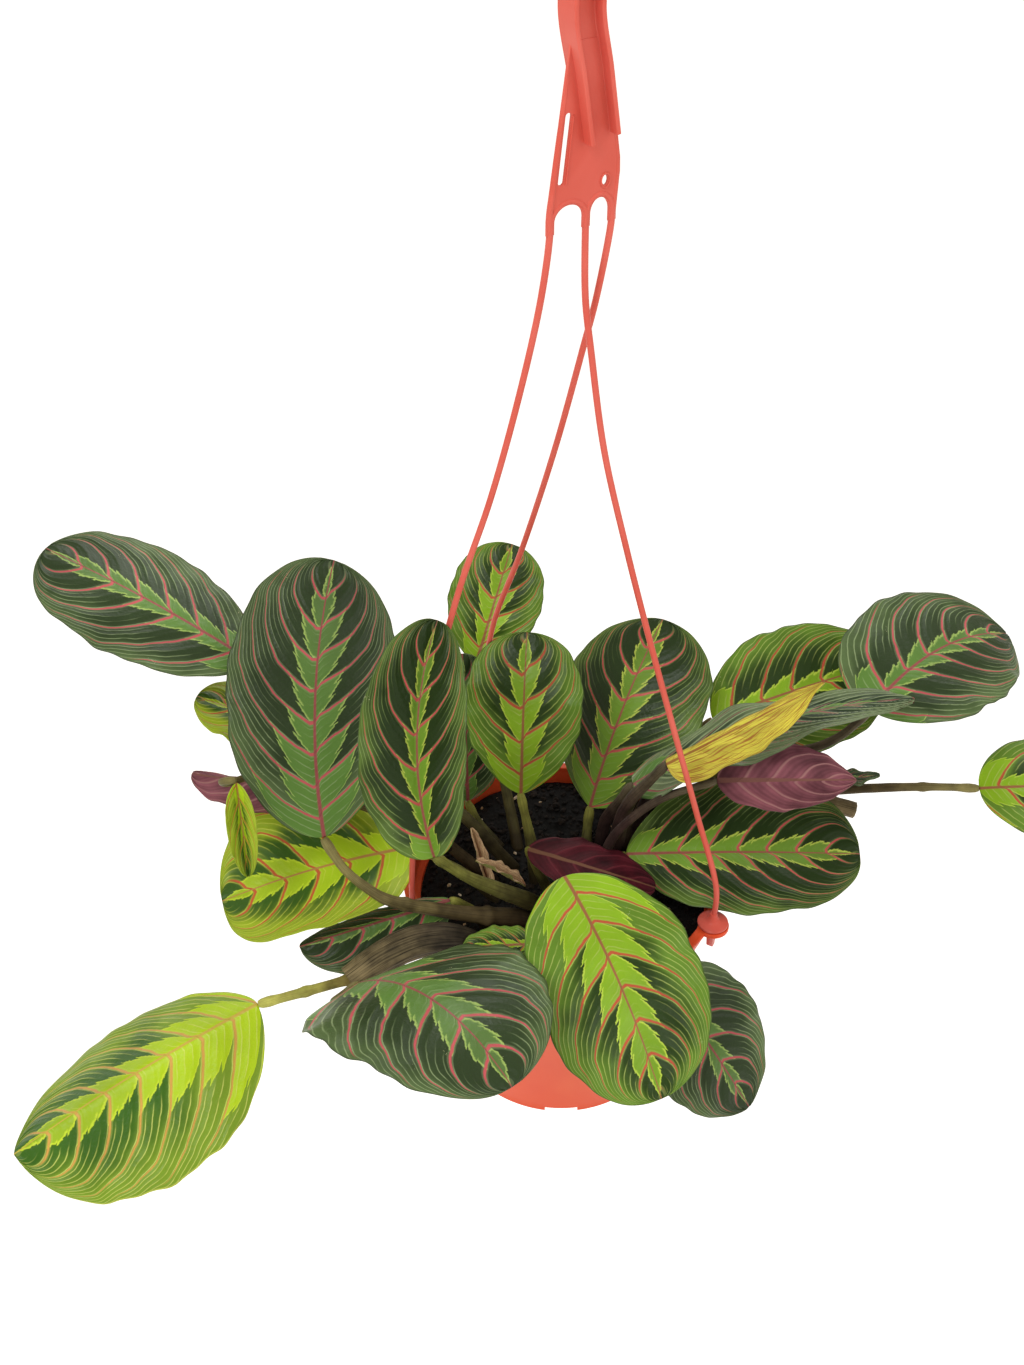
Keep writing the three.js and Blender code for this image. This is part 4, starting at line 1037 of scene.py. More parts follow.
LEAVES = [
    Leaf("leaf_far_left", (-138, 17, 110), 163, 30, 105, 72, Foliage.DARK, roll=-12, bend=16, fold=(4, -14),
         broad=1.25, point=0.3, tone=1.2, band=0.24, foot=0.13),
    Leaf("leaf_tall_left", (-107, -32, 51), 107, 60, 124, 80, Foliage.DARK, bend=18, swerve=-26, fold=(-4, -4),
         broad=1.2, point=0.38, band=0.32, foot=0.2),
    Leaf("leaf_folded_left", (-56, -69, 75), 127, 62, 100, 56, Foliage.BRIGHT, roll=-30, bend=12, swerve=-36,
         fold=(28, 44), broad=1.1, point=0.45, band=0.24, foot=0.07),
    Leaf("leaf_back_small", (-42, 85, 57), 58, 58, 62, 48, Foliage.FRESH, roll=24, bend=20, broad=1.3, point=0.38,
         band=0.38),
    Leaf("leaf_centre", (-20, 15, 34), 86, 80, 78, 57, Foliage.FRESH, bend=42, broad=1.4, point=0.35, band=0.36,
         foot=0.2, tone=0.86),
    Leaf("leaf_centre_right", (14, 32, 10), 56, 66, 100, 84, Foliage.BRIGHT, roll=4, bend=38, fold=(-20, 2),
         broad=1.35, point=0.36, band=0.3, foot=0.16),
    Leaf("leaf_back_right", (73, 55, 46), 10, 20, 92, 70, Foliage.FRESH, roll=28, bend=20, band=0.22),
    Leaf("leaf_right_high", (141, 30, 72), 46, 27, 103, 80, Foliage.DARK, roll=6, bend=52, swerve=-26, broad=1,
         point=0.6, band=0.2, foot=0.12, tone=1.12),
    Leaf("leaf_right_ridged", (32, 13.5, 41), 5, 40, 136, 58, Foliage.RIDGED, roll=-14, bend=36, halves=(0.75, 1),
         wave=2, broad=0.85, point=0.8, band=0.2, pleat=0.9),
    Leaf("leaf_yellow_rolled", (43, -16.5, 79.5), 8, 30, 77, 40, Foliage.YELLOW, bend=0, curl=(-150, -150),
         broad=0.8, point=1),
    Leaf("leaf_pink_underside", (67, -9, 63.7), -2, 2, 62, 40, Foliage.PINK, roll=200, bend=0, fold=(-16, -16),
         point=0.8),
    Leaf("leaf_small_right", (103, 8, 46), 0, 8, 42, 20, Foliage.DARK, roll=-20, bend=0),
    Leaf("leaf_front_right", (30, 5, 4), -5, 8, 110, 80, Foliage.BRIGHT, roll=20, bend=10, fold=(4, 13),
         halves=(1, 0.94), broad=1.25, point=0.42, band=0.3, foot=0.08, tone=1.12),
    Leaf("leaf_far_right", (197, 22, 31), -5, 10, 118, 74, Foliage.FRESH, roll=8, bend=20, broad=1, point=0.5,
         band=0.3),
    Leaf("leaf_front", (-1, -40, 35), -63, -10, 106, 80, Foliage.FRESH, bend=42, broad=1.15, point=0.36, band=0.38,
         tone=1.05, foot=0.23),
    Leaf("leaf_front_left", (-88.6, -92, 24), -33, 46, 98, 103, Foliage.DARK, roll=-17, bend=80, fold=(-5, -4),
         halves=(1.1, 0.93), broad=0.78, point=0.36, band=0.34, tone=1.22, vein_gap=17),
    Leaf("leaf_lime_curled", (-71, -9, 23), 199, 6, 90, 90, Foliage.LIME, roll=-18, bend=30, curl=(54, 0),
         broad=1.15, point=0.4, band=0.34),
    Leaf("leaf_left_under", (-52, -38, 17.6), 198, -7, 70, 46, Foliage.DARK, roll=-56, bend=6, fold=(0, -59),
         halves=(1, 0.38)),
    Leaf("leaf_centre_maroon", (-17, -15, 27), -12, -12, 61, 38, Foliage.WINE, roll=175, bend=0),
    Leaf("leaf_rim_small", (-13, -66, 20), 178, -4, 33, 22, Foliage.FRESH, roll=-6, bend=4),
    Leaf("leaf_low_right", (40, -70, 6), -28, -50, 86, 62, Foliage.DARK, roll=26, bend=14, broad=1.15, point=0.6,
         band=0.26, tone=1.08),
    Leaf("leaf_lime_low_left", (-134, -85, 2), 208, -10, 120, 100, Foliage.PALE_LIME, roll=-14, bend=20,
         fold=(-26, -38), broad=1.15, point=0.38, band=0.3, foot=0.24, vein_gap=16),
    Leaf("leaf_back_dark", (-46, 40, 6), 100, 88, 86, 40, Foliage.DARK, bend=6),
    Leaf("leaf_lime_behind", (-108, 6, 72), 168, 22, 62, 44, Foliage.LIME, bend=10, point=0.4),
    Leaf("leaf_bud_left", (-108, -5, 50), 175, 8, 62, 30, Foliage.PINK, roll=180, bend=0, curl=(120, 120)),
    Leaf("leaf_lime_droop", (-142, -32, 83), 280, -84, 48, 20, Foliage.LIME, bend=-12, fold=(48, 48), broad=0.9,
         point=0.6),
    Leaf("bract_left", (-34, -14, -4), 120, 62, 34, 9, Foliage.BRACT, bend=10, fold=(50, 50)),
    Leaf("bract_front", (-18, -22, 10), 165, 30, 26, 9, Foliage.BRACT, roll=10, bend=10, fold=(45, 45)),
]


# ---------------------------------------------------------------- stalks and sheaths


@dataclass
class Stalk:
    """A petiole, shoot or sheath: one or more routes of points with a radius each.

    Cushion is the swelling below the blade, and joints are the swollen places along the stalk.
    Sink and reach carry the ends into the mix and into the blade.
    """

    RING_GAP = 1.4
    CUSHION_AT = 4.5
    CUSHION_SPREAD = 3.6
    JOINT_SWELL = 0.24
    JOINT_SPREAD = 1.9

    name: str
    routes: list[list[Station]]
    finish: StalkFinish = GREEN_STALK
    sides: int = 16
    ridges: int = 0
    ridge_depth: float = 0.0
    cushion: float = 1.28
    sink: float = 5.0
    reach: float = 1.4
    open_end: bool = False
    joints: tuple[float, ...] = ()

    def tube(self, stations: list[Station], first: int) -> tuple[np.ndarray, list[Face], np.ndarray]:
        """Builds one route's skin.

        Args:
            stations: the route, with heights above the rim.
            first: index of the first point.

        Returns:
            Points, faces and the length and turn coordinates.
        """
        knots = np.array(stations, dtype=float)
        knots[:, 2] += RIM_Z
        toward = knots[0, :3] - knots[1, :3]
        knots[0, :3] += toward / np.linalg.norm(toward) * (self.sink if first == 0 else 0.0)
        ahead = knots[-1, :3] - knots[-2, :3]
        knots[-1, :3] += ahead / np.linalg.norm(ahead) * self.reach
        length = np.linalg.norm(np.diff(knots[:, :3], axis=0), axis=1).sum()
        count = int(min(90, max(18, length / self.RING_GAP)))
        path, radii = spline([tuple(k) for k in knots], count)
        across, beside = swept_rings(path)
        u = np.linspace(0, 1, count)
        from_end = (1 - u) * length
        if self.cushion > 1:
            swell = np.exp(-((from_end - self.CUSHION_AT) / self.CUSHION_SPREAD) ** 2)
            radii = radii * (1 + (self.cushion - 1) * swell)
            radii = radii * np.where(from_end < 1.2, 0.8, 1.0)
        for joint in self.joints:
            radii = radii * (1 + self.JOINT_SWELL * np.exp(-((u - joint) * length / self.JOINT_SPREAD) ** 2))
        turn = np.arange(self.sides) / self.sides
        angle = 2 * np.pi * turn
        shape = 1 + self.ridge_depth * np.cos(self.ridges * angle)
        wander = np.array([[0.05 * noise.noise(Vector((k * 3.1, a * 2.0, first * 0.37 + len(self.name))))
                            for k in turn] for a in u * length / 12])
        ring = radii[:, None] * (shape[None, :] + wander)
        points = (path[:, None, :] + across[:, None, :] * (ring * np.cos(angle))[..., None]
                  + beside[:, None, :] * (ring * np.sin(angle))[..., None])
        if self.open_end:
            # The skin turns in at the mouth and runs back down inside.
            inner = [path[-1 - back] + (points[-1 - back] - path[-1 - back]) * size
                     for back, size in ((0, 0.93), (0, 0.84), (2, 0.8), (6, 0.6))]
            points = np.concatenate([points, np.stack(inner)])
            # The lip keeps the end's light colour; deeper inside, the rings take the foot's dark colour as painted
            # shade inside the mouth.
            u = np.concatenate([u, [1.0, 0.98, 0.3, 0.0]])
            count += 4
        grid = np.stack(np.meshgrid(u, 1 - np.abs(2 * turn - 1), indexing="ij"), axis=-1)
        return points.reshape(-1, 3), ring_faces(count, self.sides, first), grid.reshape(-1, 2)

    def build(self) -> bpy.types.Object:
        """Builds, dresses and registers the stalk.

        Returns:
            The stalk.
        """
        all_points, all_faces, all_uv, first = [], [], [], 0
        for route in self.routes:
            points, faces, uv = self.tube(route, first)
            all_points.append(points)
            all_faces += faces
            all_uv.append(uv)
            first += len(points)
        obj = make_object("skin_" + self.name, np.vstack(all_points), all_faces)
        set_uv(obj, "shaft", np.vstack(all_uv))
        obj.data.materials.append(skin_of(self.finish))
        piece(obj, "stalk", self.name)
        return obj


STALKS = [
    Stalk("stalk_far_left", [[(-26, 14, -10.5, 3.4), (-48, 18, 18, 2.8), (-82, 22, 55, 2.2),
                              (-115, 20, 89, 1.9), (-136.6, 17.2, 108.8, 1.7)]]),
    Stalk("stalk_tall_left", [[(-13, -29, -9.6, 4.2), (-21, -35, 3, 4.2), (-38, -41, 11, 3.8),
                               (-56, -45.5, 19, 3.2), (-78, -50, 30, 2.6), (-85, -48.5, 33.5, 2.3),
                               (-98, -41, 40.5, 2), (-106.3, -33.2, 49.8, 1.8)]], BROWN_STALK, joints=(0.3, 0.62)),
    Stalk("stalk_folded_left", [[(-6, -21, -11, 3.8), (-13, -27, 3, 4.2), (-31, -43, 30, 3.4),
                                 (-45, -58, 54, 2.4), (-55.2, -68, 73.6, 1.8)]]),
    Stalk("stalk_back_small", [[(-22, 30, -11, 3), (-29, 52, 15, 2.4), (-37, 73, 42, 1.9),
                                (-42.3, 83.8, 55.6, 1.6)]]),
    Stalk("stalk_centre", [[(-13, 6, -10.8, 3.4), (-15, 8, 8, 2.8), (-18.6, 12.6, 26, 1.9),
                            (-20, 14.8, 32.8, 1.6)]]),
    Stalk("stalk_centre_right", [[(12, 22, -11, 3.2), (12.5, 27, -2, 2.4), (13.6, 31.3, 8.8, 1.7)]]),
    Stalk("stalk_back_right", [[(32, 30, -11, 3.2), (44, 41, 12, 2.6), (60, 50, 34, 2),
                                (71.8, 54.6, 45.1, 1.7)]],
          BROWN_STALK),
    Stalk("stalk_right_high", [[(37, 24, -10, 3.4), (38, 27, 6, 3), (43, 30, 21, 2.8), (58, 31, 33, 2.6),
                                (92, 34, 43, 2.4), (115, 30, 48.5, 2.2), (129, 28.5, 58, 2),
                                (139.9, 30, 70.8, 1.8)]], PURPLE_STALK),
    Stalk("stalk_right_ridged", [[(19, 24, -10.8, 3.4), (21, 24, 8, 3), (27, 18, 27, 2.4),
                                  (31.2, 13.8, 39.6, 1.8)]], PURPLE_STALK),
    Stalk("stem_yellow", [[(26, 16, -10.8, 3.6), (26.5, 11, 14, 3.8), (30, 1, 42, 3), (37, -9.5, 64, 2.4),
                           (42.3, -15.8, 78.2, 1.7)]], PURPLE_STALK),
    Stalk("stalk_pink_underside", [[(18, -1, -10.8, 3), (19.5, -1, 10, 2.4), (25, -2, 26, 2.2),
                                    (42, -6, 49, 1.9), (65.8, -9, 63.2, 1.6)]], PURPLE_STALK),
    Stalk("stalk_small_right", [[(44, 46, -10.8, 2.8), (56, 45, 16, 2.2), (78, 28, 34, 1.8),
                                 (101.4, 9, 45.6, 1.4)]]),
    Stalk("stalk_front_right", [[(14, 8, -10.8, 2.8), (21, 6.5, -5, 2.2), (28.8, 5.1, 3.2, 1.7)]]),
    Stalk("sheath_right", [[(42, 33, -10.6, 4), (52, 37, 2, 4.4), (64, 39, 11, 4.6), (86, 38, 17, 4.6),
                            (112, 33, 17, 4.4), (142, 29, 10.5, 3.8)]], SHEATH_SKIN, 30, 9, 0.05, 1.0, reach=0),
    Stalk("stalk_far_right", [[(120, 25.5, 26, 2.6), (150, 24.5, 29, 2.2), (176, 23, 31, 1.9),
                               (195.4, 22, 31, 1.7)]], BROWN_STALK, sink=10, joints=(0.2, 0.7)),
    Stalk("stalk_front", [[(10, -30, -10.8, 3.4), (10, -40, 8, 2.6), (5, -43, 21, 2), (0, -41.4, 33, 1.6)]]),
    Stalk("sheath_low_left", [[(-29, -46, -10.6, 4.8), (-40, -53, 4, 6), (-53, -58, 14, 7),
                               (-67, -62, 16, 7.2), (-81, -68, 13, 7), (-95, -76, 7.5, 6)]],
          SHEATH_SKIN, 40, 11, 0.045, 1.0, reach=0, open_end=True),
    Stalk("stalk_lime_low_left", [[(-98.5, -76.5, 7, 2.2), (-117, -82.5, 6, 2.1), (-132.4, -84.8, 2.6, 1.8)]],
          YOUNG_STALK, sink=10, joints=(0.15, 0.55)),
    Stalk("stalk_front_left", [[(-97.5, -80.5, 1, 2.4), (-100, -88.5, 8, 2.2), (-89.3, -92.1, 22.6, 1.8)]],
          BROWN_STALK, sink=6),
    Stalk("stalk_lime_curled", [[(-34, -7, -10.8, 3), (-46, -9, 5, 2.4), (-60, -9, 16, 1.9),
                                 (-69.4, -8.8, 22.4, 1.6)]]),
    Stalk("stalk_left_under", [[(-36, -27, -10.8, 3), (-43, -32, 5, 2.4), (-51, -37, 16.2, 1.7)]]),
    Stalk("stalk_centre_maroon", [[(-6, -6, -11, 2.8), (-12, -10, 8, 2.2), (-16.8, -14.2, 25.6, 1.5)]]),
    Stalk("stalk_rim_small", [[(-4, -40, -10.8, 3), (-7, -54, 4, 2.2), (-12.3, -65, 18.8, 1.6)]]),
    Stalk("stalk_low_right", [[(26, -42, -10.8, 3.2), (30, -52, 2, 2.6), (34.5, -62, 6, 2),
                               (39.1, -69.3, 6.6, 1.6)]]),
    Stalk("stalk_back_dark", [[(-33, 30, -11, 2.8), (-41, 36, -4, 2.2), (-45.8, 39.8, 4.8, 1.6)]]),
    Stalk("shoot_left", [
        [(-36, 5, -11, 3.4), (-62, 5, 20, 2.6), (-88, 7, 54, 2), (-106.6, 6.2, 71, 1.6)],
        [(-52, 5, 8, 2.4), (-66, -2, 22, 2.2), (-88, -5, 42, 1.8), (-106.6, -5.2, 49.8, 1.4)],
        [(-80, -3, 35, 2), (-100, -2, 58, 1.8), (-120, -6, 67, 1.7), (-139, -13, 70, 1.6), (-148, -21, 73, 1.6),
         (-149, -28, 80, 1.5), (-143.4, -31.4, 84, 1.4)],
    ], BROWN_STALK),
]


# ---------------------------------------------------------------- pot and mix


@dataclass
class Pot:
    """The moulded pot: tapered wall, collar, rolled lip, three clip ears and a notched foot."""

    rim_radius: float = 76.0
    wall_top: float = 72.0
    wall_base: float = 54.0
    wall: float = 1.8
    floor: float = 2.2
    collar: float = 14.0
    lip: float = 2.2
    foot: float = 3.0
    foot_width: float = 3.5
    ear_angles: tuple[float, ...] = (-28.0, 122.0, 205.0)
    clip_circle: float = 76.5
    ear_radius: float = 7.5
    hole_radius: float = 2.6
    notches: int = 8
    notch_width: float = 16.0
    notch_depth: float = 6.0
    drains: int = 8
    drain_circle: float = 40.0
    drain_radius: float = 2.0
    crease: float = 32.0
    segments: int = 180

    def profile(self) -> list[tuple[float, float]]:
        """The wall's outline, from the middle of the floor's underside round to its top.

        Returns:
            Radius and height pairs.
        """
        rim, top, base, wall = self.rim_radius, self.wall_top, self.wall_base, self.wall
        under, collar = RIM_Z - self.lip, RIM_Z - self.collar
        foot = -self.foot
        return [
            (0, 0), (base - self.foot_width - 0.4, 0), (base - self.foot_width, -0.4),
            (base - self.foot_width, foot + 0.5), (base - self.foot_width + 0.5, foot), (base - 0.6, foot),
            (base, foot + 0.6), (base + 0.05, 0), (base + 0.6, 3), (top - 2.2, collar - 0.6), (top - 1.8, collar),
            (top - 0.4, collar + 0.3), (top, collar + 0.9), (top + 1, under - 0.5), (top + 1.4, under),
            (rim - 0.6, under), (rim - 0.1, under + 0.3), (rim, under + 0.8), (rim, RIM_Z - 0.7),
            (rim - 0.25, RIM_Z - 0.25), (rim - 0.7, RIM_Z), (top - 0.2, RIM_Z), (top - 0.65, RIM_Z - 0.3),
            (top - 0.8, RIM_Z - 0.8), (top - 1.2, collar + 1.6), (top - 2 - wall, collar - 0.6),
            (base - wall + 0.4, self.floor + 3), (base - wall - 1.2, self.floor + 0.5), (base - wall - 3, self.floor),
            (0, self.floor),
        ]

    def shell(self) -> bpy.types.Object:
        """Turns the profile about the pot's axis.

        Returns:
            The object.
        """
        profile = self.profile()
        angles = 2 * np.pi * np.arange(self.segments) / self.segments
        points = [(0.0, 0.0, profile[0][1])]
        for radius, z in profile[1:-1]:
            points += [(radius * math.cos(a), radius * math.sin(a), z) for a in angles]
        points.append((0.0, 0.0, profile[-1][1]))
        n, rings = self.segments, len(profile) - 2
        faces: list[Face] = []
        for j in range(n):
            k = (j + 1) % n
            faces.append((0, 1 + k, 1 + j))
            faces.append((len(points) - 1, 1 + (rings - 1) * n + j, 1 + (rings - 1) * n + k))
            for i in range(rings - 1):
                a, b = 1 + i * n + j, 1 + i * n + k
                faces.append((a, b, b + n, a + n))
        return make_object("pot_shell", np.array(points), faces)

    def disc(self, name: str, radius: float, low: float, high: float, x: float, y: float, edge: float = 0.0,
             sides: int = 48) -> bpy.types.Object:
        """A round block with optional chamfered edges.

        Args:
            name: the object's name.
            radius: its radius.
            low: bottom height.
            high: top height.
            x: centre.
            y: centre.
            edge: chamfer size.
            sides: points round it.

        Returns:
            The object.
        """
        rings = [(radius - edge, low), (radius, low + edge), (radius, high - edge), (radius - edge, high)]
        angles = 2 * np.pi * np.arange(sides) / sides
        points = [(x + r * math.cos(a), y + r * math.sin(a), z) for r, z in rings for a in angles]
        return make_object(name, np.array(points), ring_faces(4, sides))

    def combine(self, target: bpy.types.Object, tool: bpy.types.Object, operation: str) -> None:
        """Applies one boolean and removes the tool.

        Args:
            target: the object kept.
            tool: the object used up.
            operation: UNION or DIFFERENCE.
        """
        modifier = target.modifiers.new("shape", "BOOLEAN")
        modifier.object, modifier.operation, modifier.solver = tool, operation, "EXACT"
        graph = bpy.context.evaluated_depsgraph_get()
        made = bpy.data.meshes.new_from_object(target.evaluated_get(graph))
        target.modifiers.clear()
        target.data = made
        bpy.data.objects.remove(tool)

    def build(self) -> bpy.types.Object:
        """Builds, dresses and registers the pot.

        Returns:
            The pot.
        """
        pot = self.shell()
        inner = self.wall_top - 0.8
        for angle in self.ear_angles:
            x = self.clip_circle * math.cos(math.radians(angle))
            y = self.clip_circle * math.sin(math.radians(angle))
            ear = self.disc("ear", self.ear_radius, RIM_Z - self.lip, RIM_Z, x, y, 0.35)
            self.combine(ear, self.disc("bore", inner, 80, RIM_Z + 5, 0, 0, sides=self.segments), "DIFFERENCE")
            self.combine(pot, ear, "UNION")
            hole = self.disc("hole", self.hole_radius, RIM_Z - 6, RIM_Z + 4, x, y, sides=32)
            self.combine(pot, hole, "DIFFERENCE")
        for i in range(self.notches):
            angle = 2 * math.pi * i / self.notches
            half, deep = self.notch_width / 2, self.notch_depth
            box = [(self.wall_base + sx * deep, sy * half, z) for z in (-self.foot - 1, -0.05)
                   for sx, sy in ((-1, -1), (1, -1), (1, 1), (-1, 1))]
            points = [(x * math.cos(angle) - y * math.sin(angle), x * math.sin(angle) + y * math.cos(angle), z)
                      for x, y, z in box]
            self.combine(pot, make_object("notch", np.array(points), ring_faces(2, 4)), "DIFFERENCE")
        for i in range(self.drains):
            angle = 2 * math.pi * (i + 0.5) / self.drains
            x, y = self.drain_circle * math.cos(angle), self.drain_circle * math.sin(angle)
            self.combine(pot, self.disc("drain", self.drain_radius, -2, 5, x, y, sides=24), "DIFFERENCE")
        pot.name = "pot_moulding"
        pot.data.materials.clear()
        pot.data.materials.append(skin_of(POT_PLASTIC))
        pot.data.polygons.foreach_set("use_smooth", [True] * len(pot.data.polygons))
        pot.data.set_sharp_from_angle(angle=math.radians(self.crease))
        piece(pot, "moulded_plastic", "pot")
        return pot


@dataclass
class MixBed:
    """The potting mix: an uneven surface with loose crumbs and a few light chips on it."""

    surface: float = RIM_Z - 13
    radius: float = 68.6
    crumbs: int = 1500
    chips: int = 85
    rings: int = 60
    sides: int = 140
    seed: int = 11

    def height(self, x: float, y: float) -> float:
        """Height of the mix at a place, in millimetres.

        Args:
            x: place.
            y: place.

        Returns:
            The height.
        """
        r = math.hypot(x, y) / self.radius
        lumps = 2.2 * noise.noise(Vector((x / 17, y / 17, 3.0))) + 0.9 * noise.noise(Vector((x / 5, y / 5, 7.0)))
        grain = 0.5 * noise.noise(Vector((x / 1.9, y / 1.9, 1.0)))
        heap = 9.0 * max(0.0, min(1.0, (y - 18) / 40)) ** 1.5
        return self.surface - 0.6 + lumps * (1 - 0.4 * r) + grain - 2.6 * r ** 5 + heap

    def bed(self) -> bpy.types.Object:
        """Builds the surface and the hidden body below it.

        Returns:
            The bed.
        """
        rings, sides = self.rings, self.sides
        points = [(0.0, 0.0, self.height(0, 0))]
        for i in range(1, rings + 1):
            r = self.radius * i / rings
            for j in range(sides):
                a = 2 * math.pi * j / sides
                x, y = r * math.cos(a), r * math.sin(a)
                points.append((x, y, self.height(x, y)))
        for r, z in ((self.radius - 0.8, self.surface - 6), (52.0, 3.0)):
            points += [(r * math.cos(2 * math.pi * j / sides), r * math.sin(2 * math.pi * j / sides), z)
                       for j in range(sides)]
        faces: list[Face] = []
        for j in range(sides):
            k = (j + 1) % sides
            faces.append((0, 1 + j, 1 + k))
            for i in range(rings + 1):
                a, b = 1 + i * sides + j, 1 + i * sides + k
                faces.append((a, a + sides, b + sides, b))
        faces.append(tuple(1 + (rings + 1) * sides + j for j in reversed(range(sides))))
        bed = make_object("mix_bed", np.array(points), faces)
        bed.data.materials.append(skin_of(PEAT))
        piece(bed, "potting_mix", "potting_mix")
        return bed

    def scatter(self, name: str, count: int, low: float, high: float, finish: CrumbFinish,
                seed: int) -> bpy.types.Object:
        """Scatters broken crumbs over the bed as one object.

        Args:
            name: the object's name.
            count: how many crumbs.
            low: smallest half size.
            high: largest half size.
            finish: the crumbs' finish.
            seed: for the steady random places.

        Returns:
            The object.
        """
        draw = random.Random(seed)
        shape = bmesh.new()
        bmesh.ops.create_icosphere(shape, subdivisions=1, radius=1)
        ball = np.array([v.co[:] for v in shape.verts])
        corners = [tuple(v.index for v in f.verts) for f in shape.faces]
        shape.free()
        points, faces = [], []
        for _ in range(count):
            r, a = (self.radius - 2) * math.sqrt(draw.random()), draw.uniform(0, 2 * math.pi)
            x, y = r * math.cos(a), r * math.sin(a)
            size = draw.uniform(low, high) * draw.choice((0.7, 1.0, 1.0, 1.3))
            stretch = np.array([draw.uniform(0.7, 1.7), draw.uniform(0.6, 1.1), draw.uniform(0.4, 0.8)])
            rough = np.array([[draw.uniform(0.78, 1.2)] for _ in range(len(ball))])
            spin = Matrix.Rotation(draw.uniform(0, 6.28), 3, "Z")
            tip = Matrix.Rotation(draw.uniform(-0.5, 0.5), 3, "X")
            turn = np.array(spin @ tip)
            crumb = (ball * rough * stretch * size) @ turn.T + np.array([x, y, self.height(x, y) + 0.25 * size])
            faces += [tuple(c + len(points) * len(ball) for c in face) for face in corners]
            points.append(crumb)
        obj = make_object(name, np.vstack(points), faces, smooth=False)
        obj.data.materials.append(skin_of(finish))
        piece(obj, "potting_mix")
        return obj

    def build(self) -> None:
        """Builds the bed, its crumbs and its chips."""
        self.bed()
        self.scatter("mix_crumbs", self.crumbs, 0.6, 1.7, BARK, self.seed)
        self.scatter("mix_chips", self.chips, 0.5, 1.3, CHIP, self.seed + 1)


# ---------------------------------------------------------------- hanger


